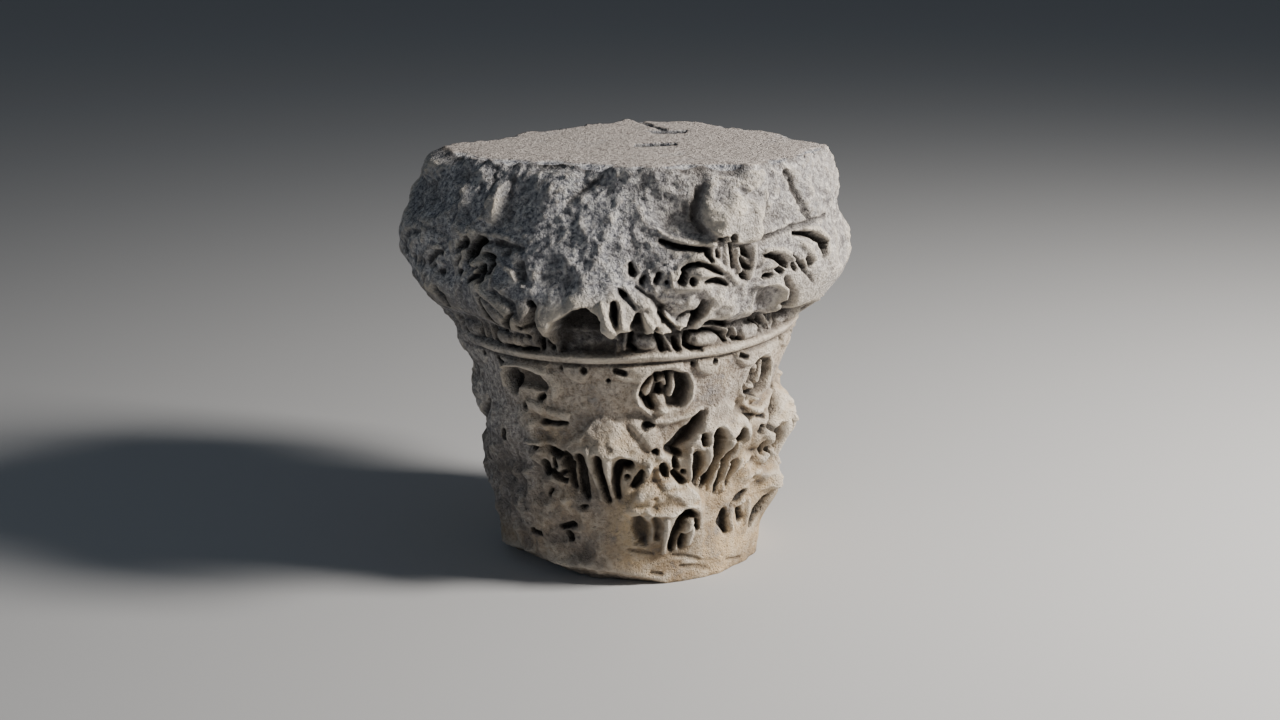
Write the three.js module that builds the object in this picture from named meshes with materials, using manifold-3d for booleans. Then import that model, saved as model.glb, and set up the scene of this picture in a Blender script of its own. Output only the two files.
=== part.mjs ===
// A weathered antique column capital, carved from one block of white-grey marble.
// Millimetres, +Z up, underside on Z = 0, column axis on Z. A bearing is an angle in
// degrees about the axis: 0 is the middle of the front side (-Y) and it grows towards +X.
// The whole side surface is one function, blockRadius(bearing, z), sampled on a closed net.
import * as THREE from 'three';
import { mergeVertices } from 'three/addons/utils/BufferGeometryUtils.js';
import Module from 'manifold-3d';

// Driving dimensions of the block
const HEIGHT = 598;              // underside to the flat top bed
const FOOT_RADIUS = 200;         // bell where it meets the shaft
const RING_RADIUS = 245;         // outside of the bead ring
const RING_HEIGHT = 341;         // middle of the bead ring
const RING_THICKNESS = 13;       // the bead, top to bottom
const EGG_BAND_TOP = 386;        // egg band ends, overhanging foliage starts
const ABACUS_UNDERSIDE = 505;    // line between the foliage channel and the abacus
const CORNER_RADIUS = 325;       // broken volutes at the four corners
const SIDE_RADIUS = 279;         // middle of a side, under the abacus
const LOWER_LEAF_TIP = 128;      // height where the lower leaves were broken off
const UPPER_LEAF_TIP = 224;      // height where the upper leaves were broken off
const BELL_FLARE = 2.2;          // how late the bell widens towards the ring
const SCROLL_HEIGHT = 292;       // middle of the round scrolls between the upper leaves

// How many of each motif stand round the bell
const LEAVES_PER_ROW = 8;
const EGGS = 18;
const SIDES = 4;

// Carving sizes
const BEAD_PROJECTION = 8;
const LEAF_STUMP = { reach: 30, halfWidth: 52, above: 38, below: 22 };
const LEAF_CHANNELS = { depth: 20, width: 13, drop: 66 };
const LEAF_BODY = { swell: 18, halfWidth: 64, height: 82 };
const SCROLL_RADIUS = 41;
const SCROLL_RIM = { height: 6, width: 12 };
const SCROLL_SINK = 15;
const SCROLL_FLOWER = 11;
const CAULIS = { reach: 9, width: 26, length: 60 };

// The leaf tips broke off at uneven heights: how far below the row's own height each
// one ends, going round from the first leaf towards +X
const LOWER_TIP_DROPS = [32, 30, 0, 14, 6, 10, 18, 0];
const UPPER_TIP_DROPS = [0, 14, 6, 10, 0, 12, 8, 6];

const EGG = { reach: 7, width: 36, height: 20, sink: 9, bearing: 12 };
const FLEURON = { reach: 24, width: 66, height: 86, bearing: 0 };
const FOLIAGE_PITS = { depth: 9, width: 14, length: 26, perSide: 7, spread: 8.5 };
const DOWEL_SLOT = { x: 38, y: -32, length: 52, width: 34, depth: 30, turn: -34 };
const CLAMP_SLOT = { x: 130, y: 66, length: 44, width: 30, depth: 24, turn: -34 };
const POUR_CHANNEL = { width: 14, depth: 9, bearing: 142 };

// Break faces round the top: bearing, distance from the axis at the top bed as a share
// of the corner radius, and how much further out the face lies for each mm lower down.
const BREAK_FACES = [
  { bearing: -62, share: 0.556, lean: 0.58 },
  { bearing: -36, share: 0.655, lean: 0.42 },
  { bearing: 0, share: 0.88, lean: 0 },
  { bearing: 38, share: 0.93, lean: 0.12 },
  { bearing: 61, share: 0.88, lean: 0.35 },
  { bearing: 90, share: 0.715, lean: 0.4 },
  { bearing: 124, share: 0.82, lean: 0.3 },
  { bearing: 180, share: 0.72, lean: 0.4 },
  { bearing: -160, share: 0.69, lean: 0.7 },
  { bearing: -132, share: 0.76, lean: 2.8 },
  { bearing: -100, share: 0.65, lean: 0.9 },
];

// Chips along the bottom edge, given the same way from the underside upwards
const BOTTOM_CHIPS = [
  { bearing: -84, share: 0.78, lean: 1.5 },
  { bearing: -68, share: 0.83, lean: 1.3 },
  { bearing: -52, share: 0.84, lean: 1.3 },
  { bearing: 60, share: 0.92, lean: 0.42 },
  { bearing: 170, share: 0.88, lean: 1 },
];

// Broken and worn places on the bell: middle, half sizes and depth
const CHIPS = [
  { bearing: -48, z: 388, halfWidth: 62, halfHeight: 38, depth: 32 },
  { bearing: -124, z: 405, halfWidth: 110, halfHeight: 44, depth: 18 },
  { bearing: -94, z: 300, halfWidth: 60, halfHeight: 60, depth: 6 },
  { bearing: -36, z: 92, halfWidth: 24, halfHeight: 28, depth: 12 },
  { bearing: -62, z: 60, halfWidth: 40, halfHeight: 34, depth: 8 },
  { bearing: 11, z: 400, halfWidth: 40, halfHeight: 30, depth: 16 },
  { bearing: 150, z: 430, halfWidth: 60, halfHeight: 40, depth: 14 },
];

// How crisp the carving still is, by bearing: worn almost flat on the far left
const WORN_BEARING = -115;
const WORN_HALF_ANGLE = 42;
const WORN_SHARE = 0.35;
const WORN_CRUST = 14;           // the unfinished stone left proud there

// Rough stone everywhere, which fades out at the top bed and at the underside
const ROUGHNESS = 4;
const SHARP_EDGE = 30;
const FACE_SPAN = 80;            // how far round, in degrees, a break face can reach

// The net of the surface. A leaf is a whole number of columns wide, and its channels lie
// on every second column, so that the ribs between them stay sharp. A pair of rows close
// together makes the sharp lip under each row of leaf tips.
const COLUMNS_PER_LEAF = 12;
const COLUMNS = COLUMNS_PER_LEAF * LEAVES_PER_ROW;
const CHANNEL_STEP = 2 * 360 / COLUMNS;
const LIP_ROW = 6;
const ROW_BANDS = [
  { top: LOWER_LEAF_TIP - LEAF_CHANNELS.drop, rows: 4 },
  { top: LOWER_LEAF_TIP - LEAF_STUMP.below, rows: 4 },
  { top: LOWER_LEAF_TIP - LEAF_STUMP.below + LIP_ROW, rows: 1 },
  { top: UPPER_LEAF_TIP - LEAF_CHANNELS.drop, rows: 4 },
  { top: UPPER_LEAF_TIP - LEAF_STUMP.below, rows: 4 },
  { top: UPPER_LEAF_TIP - LEAF_STUMP.below + LIP_ROW, rows: 1 },
  { top: SCROLL_HEIGHT - SCROLL_RADIUS, rows: 3 },
  { top: SCROLL_HEIGHT + SCROLL_RADIUS * 0.86, rows: 6 },
  { top: RING_HEIGHT - RING_THICKNESS / 2, rows: 1 },
  { top: RING_HEIGHT + RING_THICKNESS / 2, rows: 3 },
  { top: EGG_BAND_TOP, rows: 5 },
  { top: ABACUS_UNDERSIDE, rows: 8 },
  { top: HEIGHT, rows: 6 },
];
const MERGE_TOLERANCE = 1e-3;
const CUT_CLEARANCE = 20;

const DEGREE = Math.PI / 180;

function clamp01(t) {
  return Math.min(1, Math.max(0, t));
}

// A soft step from 0 to 1 while t goes from 0 to 1
function smooth(t) {
  const c = clamp01(t);
  return c * c * (3 - 2 * c);
}

// The signed angle from one bearing to another, within half a turn
function turnFrom(start, bearing) {
  return ((bearing - start + 900) % 360) - 180;
}

// The height between given stations, joined by straight lines
function alongStations(stations, z) {
  let previous = stations[0];
  for (const station of stations) {
    if (z <= station[0]) {
      const span = Math.max(station[0] - previous[0], MERGE_TOLERANCE);
      const t = clamp01((z - previous[0]) / span);
      return previous[1] + (station[1] - previous[1]) * t;
    }
    previous = station;
  }
  return previous[1];
}

// The bell under the ring: a cone that flares a little more towards its top
function bellRadius(z) {
  const neck = RING_RADIUS - BEAD_PROJECTION;
  const t = clamp01(z / RING_HEIGHT);
  return FOOT_RADIUS + (neck - FOOT_RADIUS) * Math.pow(t, BELL_FLARE);
}

// The block above the ring in the middle of a side
function sideRadius(z) {
  return alongStations([
    [RING_HEIGHT, RING_RADIUS - BEAD_PROJECTION],
    [EGG_BAND_TOP, RING_RADIUS + 4],
    [EGG_BAND_TOP + 20, SIDE_RADIUS - 16],
    [ABACUS_UNDERSIDE - 20, SIDE_RADIUS],
    [ABACUS_UNDERSIDE, SIDE_RADIUS],
    [ABACUS_UNDERSIDE + 15, SIDE_RADIUS - 6],
    [HEIGHT, SIDE_RADIUS + 2],
  ], z);
}

// The block above the ring on a corner, where the volutes stood
function cornerRadius(z) {
  return alongStations([
    [RING_HEIGHT, RING_RADIUS - BEAD_PROJECTION],
    [EGG_BAND_TOP - 26, RING_RADIUS + 22],
    [EGG_BAND_TOP, CORNER_RADIUS - 30],
    [EGG_BAND_TOP + 44, CORNER_RADIUS],
    [ABACUS_UNDERSIDE - 40, CORNER_RADIUS],
    [ABACUS_UNDERSIDE, CORNER_RADIUS - 10],
    [HEIGHT, CORNER_RADIUS - 26],
  ], z);
}

// The whole block before any carving: round below the ring, four-cornered above it
function massRadius(bearing, z) {
  if (z <= RING_HEIGHT) {
    return bellRadius(z);
  }
  const corner = Math.pow(Math.abs(Math.sin(2 * bearing * DEGREE)), 1.5);
  return sideRadius(z) + (cornerRadius(z) - sideRadius(z)) * corner;
}

// A worn factor, 1 where the carving is crisp
function crispness(bearing) {
  const away = Math.abs(turnFrom(WORN_BEARING, bearing)) / WORN_HALF_ANGLE;
  return WORN_SHARE + (1 - WORN_SHARE) * smooth(away);
}

// Sideways distance in mm between two bearings, measured on the surface at this height
function sideways(start, bearing, z) {
  return turnFrom(start, bearing) * DEGREE * massRadius(start, z);
}

// A round or oval swelling, 1 at its middle and 0 outside its half sizes
function swelling(across, up, halfWidth, halfHeight) {
  const d = Math.hypot(across / halfWidth, up / halfHeight);
  return smooth(1.3 * (1 - d));
}

// A stroke from one point to another in mm, 1 on its line and 0 outside its width
function stroke(across, up, from, to, width) {
  const dx = to[0] - from[0];
  const dz = to[1] - from[1];
  const t = clamp01(((across - from[0]) * dx + (up - from[1]) * dz) / (dx * dx + dz * dz));
  const d = Math.hypot(across - from[0] - t * dx, up - from[1] - t * dz);
  return 1 - smooth(d / width);
}

// The broken leaf tip: it swells out downwards and ends in a sharp undercut lip
function leafStump(across, up, size) {
  const wide = 1 - Math.pow(clamp01(Math.abs(across) / size.halfWidth), 2.2);
  const rise = clamp01((size.above - up) / (size.above + size.below));
  const lip = smooth((up + size.below) / (0.35 * size.below));
  return size.reach * wide * Math.sqrt(rise) * lip;
}

// The leaf under its tip: it leans out towards the lip, and ends at the stump above it
function leafBody(across, up, size) {
  const wide = 1 - Math.pow(clamp01(Math.abs(across) / size.halfWidth), 2.6);
  const lean = smooth(1 + up / size.height);
  const end = 1 - smooth(up / LEAF_STUMP.below);
  return size.swell * wide * lean * end;
}

// The drilled channels that run down under a leaf tip, the middle ones the longest
function leafChannels(across, up, pitch, size) {
  let depth = 0;
  for (const step of [-2, -1, 0, 1, 2]) {
    const top = [step * pitch, -6 * Math.abs(step)];
    const foot = [step * pitch, -size.drop * (1 - 0.12 * Math.abs(step))];
    depth = Math.max(depth, stroke(across, up, top, foot, size.width));
  }
  return size.depth * depth;
}

// One row of leaves, evenly spaced from a first bearing
function leafRow(bearing, z, firstBearing, tipHeight, tipDrops) {
  const spacing = 360 / LEAVES_PER_ROW;
  const place = Math.round(turnFrom(firstBearing, bearing) / spacing);
  const nearest = firstBearing + spacing * place;
  const drop = tipDrops[(place + LEAVES_PER_ROW) % LEAVES_PER_ROW];
  const across = sideways(nearest, bearing, tipHeight);
  const pitch = sideways(0, CHANNEL_STEP, tipHeight);
  const up = z - tipHeight + drop;
  return leafStump(across, up, LEAF_STUMP)
    + leafBody(across, up + LEAF_STUMP.below, LEAF_BODY)
    - leafChannels(across, up + LEAF_STUMP.below, pitch, LEAF_CHANNELS);
}

// A round scroll with its rim, its sunk eye, the flower in it and the stalk below
function scrolls(bearing, z) {
  const spacing = 360 / LEAVES_PER_ROW;
  const first = spacing / 2;
  const nearest = first + spacing * Math.round(turnFrom(first, bearing) / spacing);
  const across = sideways(nearest, bearing, SCROLL_HEIGHT);
  const up = z - SCROLL_HEIGHT;
  const d = Math.hypot(across, up);
  const rim = SCROLL_RIM.height * (1 - smooth(Math.abs(d - SCROLL_RADIUS) / SCROLL_RIM.width));
  const sink = SCROLL_SINK * (1 - smooth((d - SCROLL_RADIUS * 0.78) / (SCROLL_RADIUS * 0.25)));
  const flower = SCROLL_FLOWER * swelling(across, up, SCROLL_RADIUS * 0.55, SCROLL_RADIUS * 0.7);
  const stalkTop = [0, -SCROLL_RADIUS];
  const stalkFoot = [0, -SCROLL_RADIUS - CAULIS.length];
  const stalk = CAULIS.reach * stroke(across, up, stalkTop, stalkFoot, CAULIS.width);
  const besideFrom = [CAULIS.width, -SCROLL_RADIUS - CAULIS.length * 0.25];
  const besideTo = [CAULIS.width * 0.8, -SCROLL_RADIUS - CAULIS.length * 0.8];
  const hollow = stroke(across, up, besideFrom, besideTo, CAULIS.width * 0.75)
    + 0.5 * stroke(-across, up, besideFrom, besideTo, CAULIS.width * 0.75);
  return rim - sink + flower + stalk - SCROLL_SINK * hollow;
}

// The bead of the ring with a narrow groove under and over it
function ring(z) {
  const away = Math.abs(z - RING_HEIGHT);
  const half = RING_THICKNESS / 2;
  const bead = away < half ? Math.sqrt(1 - (away / half) ** 2) : 0;
  const groove = 1 - smooth(Math.abs(away - half * 1.4) / half);
  return BEAD_PROJECTION * bead - 3 * groove;
}

// Eggs lying in their hollows, in the band over the ring
function eggs(bearing, z) {
  const spacing = 360 / EGGS;
  const first = EGG.bearing;
  const nearest = first + spacing * Math.round(turnFrom(first, bearing) / spacing);
  const middle = RING_HEIGHT + RING_THICKNESS + EGG.height * 0.4;
  const across = sideways(nearest, bearing, middle);
  const up = z - middle;
  const egg = swelling(across, up, EGG.width * 0.6, EGG.height * 0.65);
  const hollow = swelling(across, up - 4, EGG.width * 1.05, EGG.height * 1.1);
  return (EGG.reach + EGG.sink) * egg - EGG.sink * hollow;
}

// The flower boss in the middle of each side of the abacus
function fleurons(bearing, z) {
  const spacing = 360 / SIDES;
  const first = FLEURON.bearing;
  const nearest = first + spacing * Math.round(turnFrom(first, bearing) / spacing);
  const middle = (ABACUS_UNDERSIDE + HEIGHT) / 2 - 4;
  const across = sideways(nearest, bearing, middle);
  const up = z - middle;
  const taper = 1 + 0.35 * (up / FLEURON.height);
  const boss = swelling(across / taper, up, FLEURON.width * 0.62, FLEURON.height * 0.62);
  return FLEURON.reach * Math.sqrt(boss);
}

// The drilled foliage in the channel under the abacus, and the line along its top
function channelFoliage(bearing, z) {
  const spacing = 360 / SIDES;
  const nearest = spacing * Math.round(bearing / spacing);
  const middle = (EGG_BAND_TOP + ABACUS_UNDERSIDE) / 2 + 24;
  const across = sideways(nearest, bearing, middle);
  const up = z - middle;
  let pits = 0;
  const outer = (FOLIAGE_PITS.perSide - 1) / 2;
  for (let place = -outer; place <= outer; place += 1) {
    const x = place * FOLIAGE_PITS.spread * DEGREE * SIDE_RADIUS * 0.8;
    const top = [x, FOLIAGE_PITS.length / 2 - 2 * Math.abs(place)];
    const foot = [x + 5 * place, -FOLIAGE_PITS.length / 2];
    pits = Math.max(pits, stroke(across, up, top, foot, FOLIAGE_PITS.width));
  }
  const line = 1 - smooth(Math.abs(z - ABACUS_UNDERSIDE) / 9);
  const nearMiddle = 1 - smooth((Math.abs(turnFrom(nearest, bearing)) - 16) / 14);
  return -FOLIAGE_PITS.depth * pits - 5 * line * nearMiddle;
}

// Rough stone: a few waves that cross each other, with no even repeat
function roughness(bearing, z) {
  const t = bearing * DEGREE;
  const h = z / HEIGHT * 2 * Math.PI;
  return 0.5 * Math.sin(5 * t + 3.1 * h)
    + 0.35 * Math.sin(11 * t - 4.3 * h + 1)
    + 0.3 * Math.sin(7 * t + 7.7 * h + 2)
    + 0.25 * Math.sin(17 * t - 2.6 * h + 4);
}

// The nearest of a list of flat faces that cut the block, seen along one bearing
function cutByFaces(radius, faces, reference, bearing, away) {
  let result = radius;
  for (const face of faces) {
    const turn = turnFrom(face.bearing, bearing);
    if (Math.abs(turn) < FACE_SPAN) {
      const distance = face.share * reference + face.lean * away;
      result = Math.min(result, distance / Math.cos(turn * DEGREE));
    }
  }
  return result;
}

// Everything together: the radius of the stone at one bearing and height
function blockRadius(bearing, z) {
  const crisp = crispness(bearing);
  let radius = massRadius(bearing, z);
  let carving = 0;
  if (z < RING_HEIGHT) {
    const leafSpacing = 360 / LEAVES_PER_ROW;
    carving += leafRow(bearing, z, leafSpacing / 2, LOWER_LEAF_TIP, LOWER_TIP_DROPS);
    carving += leafRow(bearing, z, 0, UPPER_LEAF_TIP, UPPER_TIP_DROPS);
    carving += scrolls(bearing, z);
  } else {
    carving += eggs(bearing, z);
    carving += channelFoliage(bearing, z);
  }
  radius += crisp * carving + ring(z) * smooth(2 * crisp - 0.7);
  radius += WORN_CRUST * (1 - crisp) * smooth((z - LOWER_LEAF_TIP) / LOWER_LEAF_TIP);
  for (const chip of CHIPS) {
    const across = sideways(chip.bearing, bearing, chip.z);
    radius -= chip.depth * swelling(across, z - chip.z, chip.halfWidth, chip.halfHeight);
  }
  radius = cutByFaces(radius, BREAK_FACES, CORNER_RADIUS, bearing, HEIGHT - z);
  radius = cutByFaces(radius, BOTTOM_CHIPS, FOOT_RADIUS, bearing, z);
  radius += fleurons(bearing, z) * crisp;
  const edge = smooth(z / SHARP_EDGE) * smooth((HEIGHT - z) / SHARP_EDGE);
  return radius + ROUGHNESS * roughness(bearing, z) * edge * (1.3 - crisp);
}

// The heights of the rows of the net, closer together where the carving is fine
function rowHeights() {
  const heights = [0];
  for (const band of ROW_BANDS) {
    const start = heights[heights.length - 1];
    for (let row = 1; row <= band.rows; row += 1) {
      heights.push(start + (band.top - start) * (row / band.rows));
    }
  }
  return heights;
}

// The closed net: rows of points, joined by triangles, with a flat fan at each end
function makeBlockGeometry() {
  const heights = rowHeights();
  const positions = [];
  for (const z of heights) {
    for (let column = 0; column < COLUMNS; column += 1) {
      const bearing = (360 * column) / COLUMNS - 180;
      const radius = blockRadius(bearing, z);
      const angle = bearing * DEGREE;
      positions.push(radius * Math.sin(angle), -radius * Math.cos(angle), z);
    }
  }
  const bottomMiddle = positions.length / 3;
  positions.push(0, 0, 0);
  const topMiddle = bottomMiddle + 1;
  positions.push(0, 0, HEIGHT);
  const index = [];
  for (let row = 0; row < heights.length - 1; row += 1) {
    for (let column = 0; column < COLUMNS; column += 1) {
      const next = (column + 1) % COLUMNS;
      const a = row * COLUMNS + column;
      const b = row * COLUMNS + next;
      const c = a + COLUMNS;
      const d = b + COLUMNS;
      if ((row + column) % 2 === 0) {
        index.push(a, b, d, a, d, c);
      } else {
        index.push(a, b, c, b, d, c);
      }
    }
  }
  const lastRow = (heights.length - 1) * COLUMNS;
  for (let column = 0; column < COLUMNS; column += 1) {
    const next = (column + 1) % COLUMNS;
    index.push(bottomMiddle, next, column);
    index.push(topMiddle, lastRow + column, lastRow + next);
  }
  const geometry = new THREE.BufferGeometry();
  geometry.setAttribute('position', new THREE.Float32BufferAttribute(positions, 3));
  geometry.setIndex(index);
  return geometry;
}

// A box-shaped cutting in the top bed, turned about the vertical
function makeSlotGeometry(slot) {
  const height = slot.depth + CUT_CLEARANCE;
  const box = new THREE.BoxGeometry(slot.length, slot.width, height);
  box.rotateZ(slot.turn * DEGREE);
  box.translate(slot.x, slot.y, HEIGHT - slot.depth + height / 2);
  return box;
}

// The groove that runs from the edge of the top bed to the clamp slot
function makePourChannelGeometry() {
  const edge = SIDE_RADIUS;
  const angle = POUR_CHANNEL.bearing * DEGREE;
  const outer = new THREE.Vector2(edge * Math.sin(angle), -edge * Math.cos(angle));
  const inner = new THREE.Vector2(CLAMP_SLOT.x, CLAMP_SLOT.y);
  const run = outer.clone().sub(inner);
  const height = POUR_CHANNEL.depth + CUT_CLEARANCE;
  const box = new THREE.BoxGeometry(run.length(), POUR_CHANNEL.width, height);
  box.rotateZ(Math.atan2(run.y, run.x));
  const middle = outer.clone().add(inner).multiplyScalar(0.5);
  box.translate(middle.x, middle.y, HEIGHT - POUR_CHANNEL.depth + height / 2);
  return box;
}

const wasm = await Module();
wasm.setup();

// A closed solid from a three.js geometry, with its shared points merged
function toSolid(geometry) {
  const bare = geometry.clone();
  bare.deleteAttribute('normal');
  bare.deleteAttribute('uv');
  const merged = mergeVertices(bare, MERGE_TOLERANCE);
  return new wasm.Manifold(new wasm.Mesh({
    numProp: 3,
    vertProperties: new Float32Array(merged.attributes.position.array),
    triVerts: new Uint32Array(merged.index.array),
  }));
}

// A three.js geometry from a solid, with flat faces
function toGeometry(solid) {
  const mesh = solid.getMesh();
  const geometry = new THREE.BufferGeometry();
  geometry.setAttribute('position', new THREE.BufferAttribute(mesh.vertProperties, 3));
  geometry.setIndex(new THREE.BufferAttribute(mesh.triVerts, 1));
  geometry.computeVertexNormals();
  return geometry;
}

// The carved block with the cuttings in its top bed
function makeCapital() {
  const block = toSolid(makeBlockGeometry());
  const cut = block
    .subtract(toSolid(makeSlotGeometry(DOWEL_SLOT)))
    .subtract(toSolid(makeSlotGeometry(CLAMP_SLOT)))
    .subtract(toSolid(makePourChannelGeometry()));
  const marble = new THREE.MeshStandardMaterial({ color: 0xb3aba2, roughness: 0.85, metalness: 0 });
  const mesh = new THREE.Mesh(toGeometry(cut), marble);
  mesh.name = 'capital';
  return mesh;
}

const part = new THREE.Group();
part.add(makeCapital());

export default part;
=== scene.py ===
import itertools
import math

import bpy
import numpy as np
from mathutils import Matrix, Vector


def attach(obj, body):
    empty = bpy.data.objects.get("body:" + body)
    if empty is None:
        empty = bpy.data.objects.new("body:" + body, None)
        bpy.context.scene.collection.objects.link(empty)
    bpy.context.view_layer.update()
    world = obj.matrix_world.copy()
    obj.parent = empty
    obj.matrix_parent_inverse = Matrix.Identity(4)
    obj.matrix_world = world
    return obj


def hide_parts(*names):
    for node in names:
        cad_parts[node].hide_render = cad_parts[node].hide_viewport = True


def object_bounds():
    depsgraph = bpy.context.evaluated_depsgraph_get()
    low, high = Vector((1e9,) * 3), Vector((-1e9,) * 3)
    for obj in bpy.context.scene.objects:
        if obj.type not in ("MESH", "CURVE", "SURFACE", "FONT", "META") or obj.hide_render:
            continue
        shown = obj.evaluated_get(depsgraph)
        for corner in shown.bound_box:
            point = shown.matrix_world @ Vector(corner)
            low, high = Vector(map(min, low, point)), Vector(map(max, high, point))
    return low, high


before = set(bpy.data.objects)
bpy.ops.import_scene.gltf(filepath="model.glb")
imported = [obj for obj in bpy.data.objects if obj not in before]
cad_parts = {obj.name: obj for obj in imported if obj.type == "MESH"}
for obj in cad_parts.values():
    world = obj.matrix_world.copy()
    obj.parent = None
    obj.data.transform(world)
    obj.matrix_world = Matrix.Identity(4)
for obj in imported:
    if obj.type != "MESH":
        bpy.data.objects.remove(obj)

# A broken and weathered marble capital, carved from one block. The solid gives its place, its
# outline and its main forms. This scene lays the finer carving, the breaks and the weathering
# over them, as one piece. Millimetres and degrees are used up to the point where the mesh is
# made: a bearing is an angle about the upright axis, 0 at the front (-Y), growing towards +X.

cad_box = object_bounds()

RAD = math.pi / 180
MM = 0.001

# The block, as the solid has it
HEIGHT = 598
FOOT_RADIUS = 200
NECK_RADIUS = 237                # the bell right under the ring
RING_HEIGHT = 341
RING_HALF = 6.5
RING_REACH = 8
BELL_FLARE = 2.2
LEAVES_PER_ROW = 8
LEAF_SPACING = 45
FIRST_LEAF = 4                   # bearings of the upper leaf in front and of the gap beside it
FIRST_GAP = -21

# Radius by height in the middle of a side and on a corner, above the ring
SIDE_PROFILE = [
    (341, 237), (384, 244), (391, 262), (412, 269), (485, 279), (506, 278), (520, 273), (598, 281),
]
CORNER_PROFILE = [(341, 237), (360, 262), (386, 294), (430, 325), (465, 325), (505, 315), (598, 299)]

# Faces along which the block broke: bearing, distance from the axis at the top bed, and how
# much further out the face lies for each mm lower down
BREAK_FACES = [
    (-62, 181, 0.58), (-36, 213, 0.42), (0, 286, 0), (38, 302, 0.12), (61, 286, 0.35), (90, 232, 0.4),
    (124, 266, 0.3), (180, 234, 0.4), (-160, 224, 0.7), (-132, 247, 2.8), (-100, 211, 0.9),
]
# The same along the foot, measured from the underside upwards
FOOT_BREAKS = [(-84, 156, 1.5), (-68, 166, 1.3), (-52, 168, 1.3), (60, 184, 0.42), (170, 176, 1)]

# Where the carving is worn almost flat
WORN_BEARING = -115
WORN_HALF_ANGLE = 42
WORN_SHARE = 0.35
WORN_CRUST = 14

# How fine the net is, and how many triangles the finished stone may have
COLUMNS = 960
ROWS = 440
BED_RINGS = 140
FOOT_RINGS = 8
TRIANGLES = 194000
FINE_REACH = 2                   # cells of the running means that find edges and hollows
MEAN_REACH = 7
WIDE_REACH = 20
FAR = 9999.0                     # mm, further than anything on the stone
SCALLOP_MEAN = 0.35              # what scallops() gives on average


# Plain numbers and noise

def soft(t):
    """Soft step: 0 below 0, 1 above 1, and 3t^2 - 2t^3 between."""
    t = np.clip(t, 0, 1)
    return t * t * (3 - 2 * t)


def turn_from(start, bearing):
    """Signed angle from one bearing to another, within half a turn."""
    return (bearing - start + 900) % 360 - 180


def along(stations, z):
    """Radius at a height: straight lines through the stations, rounded by a 10 mm running mean."""
    heights, radii = zip(*stations)
    return sum(np.interp(z + step, heights, radii) for step in (-5, -2.5, 0, 2.5, 5)) / 5


def lattice(ix, iy, iz, seed):
    """A fixed random value from 0 to 1 for each corner of a cubic lattice: whole numbers mixed
    by large odd factors and bit shifts."""
    n = ix * 73856093 ^ iy * 19349663 ^ iz * 83492791 ^ seed * 2654435
    n = (n ^ (n >> 13)) * 1274126177
    n = (n ^ (n >> 15)) * 668265263
    return ((n >> 11) & 0xFFFF) / 65535.0


def hills(p, size, seed):
    """Soft random hills from -1 to 1: lattice values mixed along x, y and z by soft steps."""
    q = p / size
    cell = np.floor(q).astype(np.int64)
    t = soft(q - cell)
    total = 0
    for corner in itertools.product((0, 1), repeat=3):
        weight = 1
        for axis in range(3):
            weight = weight * (t[axis] if corner[axis] else 1 - t[axis])
        total = total + weight * lattice(*(cell[axis] + corner[axis] for axis in range(3)), seed)
    return 2 * total - 1


def fractal(p, size, seed, octaves):
    """Hills on hills: each octave is half as wide and half as high as the one before."""
    return sum(hills(p, size / 2 ** i, seed + i) / 2 ** i for i in range(octaves))


def scallops(p, size, seed):
    """Broken stone: for random centres f, the least of |p-f|^2/size^2 + tilt.(p-f)/size.

    Each centre makes a hollow like a shell, and the hollows meet in sharp crests."""
    q = p / size
    cell = np.floor(q).astype(np.int64)
    lowest = np.full(q.shape[1:], 9.0)
    for step in itertools.product((-1, 0, 1), repeat=3):
        corner = [cell[axis] + step[axis] for axis in range(3)]
        away = [q[axis] - corner[axis] - lattice(*corner, seed + axis) for axis in range(3)]
        value = sum(a * a for a in away)
        for axis in range(3):
            value = value + 0.7 * away[axis] * (lattice(*corner, seed + 3 + axis) - 0.5)
        lowest = np.minimum(lowest, value)
    return lowest


def blur(field, reach):
    """Mean over a square of 2*reach+1 cells, twice over; bearings wrap round, heights stop."""
    for _ in range(2):
        wide = np.concatenate([field[:, -reach:], field, field[:, :reach]], axis=1)
        total = np.cumsum(np.pad(wide, ((0, 0), (1, 0))), axis=1)
        field = (total[:, 2 * reach + 1:] - total[:, :-2 * reach - 1]) / (2 * reach + 1)
        tall = np.pad(field, ((reach, reach), (0, 0)), mode="edge")
        total = np.cumsum(np.pad(tall, ((1, 0), (0, 0))), axis=0)
        field = (total[2 * reach + 1:] - total[:-2 * reach - 1]) / (2 * reach + 1)
    return field


# The block before carving

def bell_radius(z):
    """The bell: foot + (neck - foot) * (z / ring height)^flare."""
    return FOOT_RADIUS + (NECK_RADIUS - FOOT_RADIUS) * np.clip(z / RING_HEIGHT, 0, 1) ** BELL_FLARE


def whole_radius(a, z):
    """Round below the ring; above it side + (corner - side) * |sin 2a|^1.5."""
    corner = np.abs(np.sin(2 * a * RAD)) ** 1.5
    side = along(SIDE_PROFILE, z)
    above = side + (along(CORNER_PROFILE, z) - side) * corner
    return bell_radius(z) + (above - bell_radius(z)) * soft((z - RING_HEIGHT + 4) / 8)


def cut_by_faces(radius, faces, a, away):
    """Least of the radius and the flat faces: (distance + lean * away) / cos(turn)."""
    for bearing, distance, lean in faces:
        turn = turn_from(bearing, a)
        near = np.abs(turn) < 80
        face = (distance + lean * away) / np.cos(np.where(near, turn, 0) * RAD)
        radius = np.where(near, np.minimum(radius, face), radius)
    return radius


def crispness(a):
    """1 where the carving is crisp, falling softly to its worn share at the worn bearing."""
    return WORN_SHARE + (1 - WORN_SHARE) * soft(np.abs(turn_from(WORN_BEARING, a)) / WORN_HALF_ANGLE)


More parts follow.
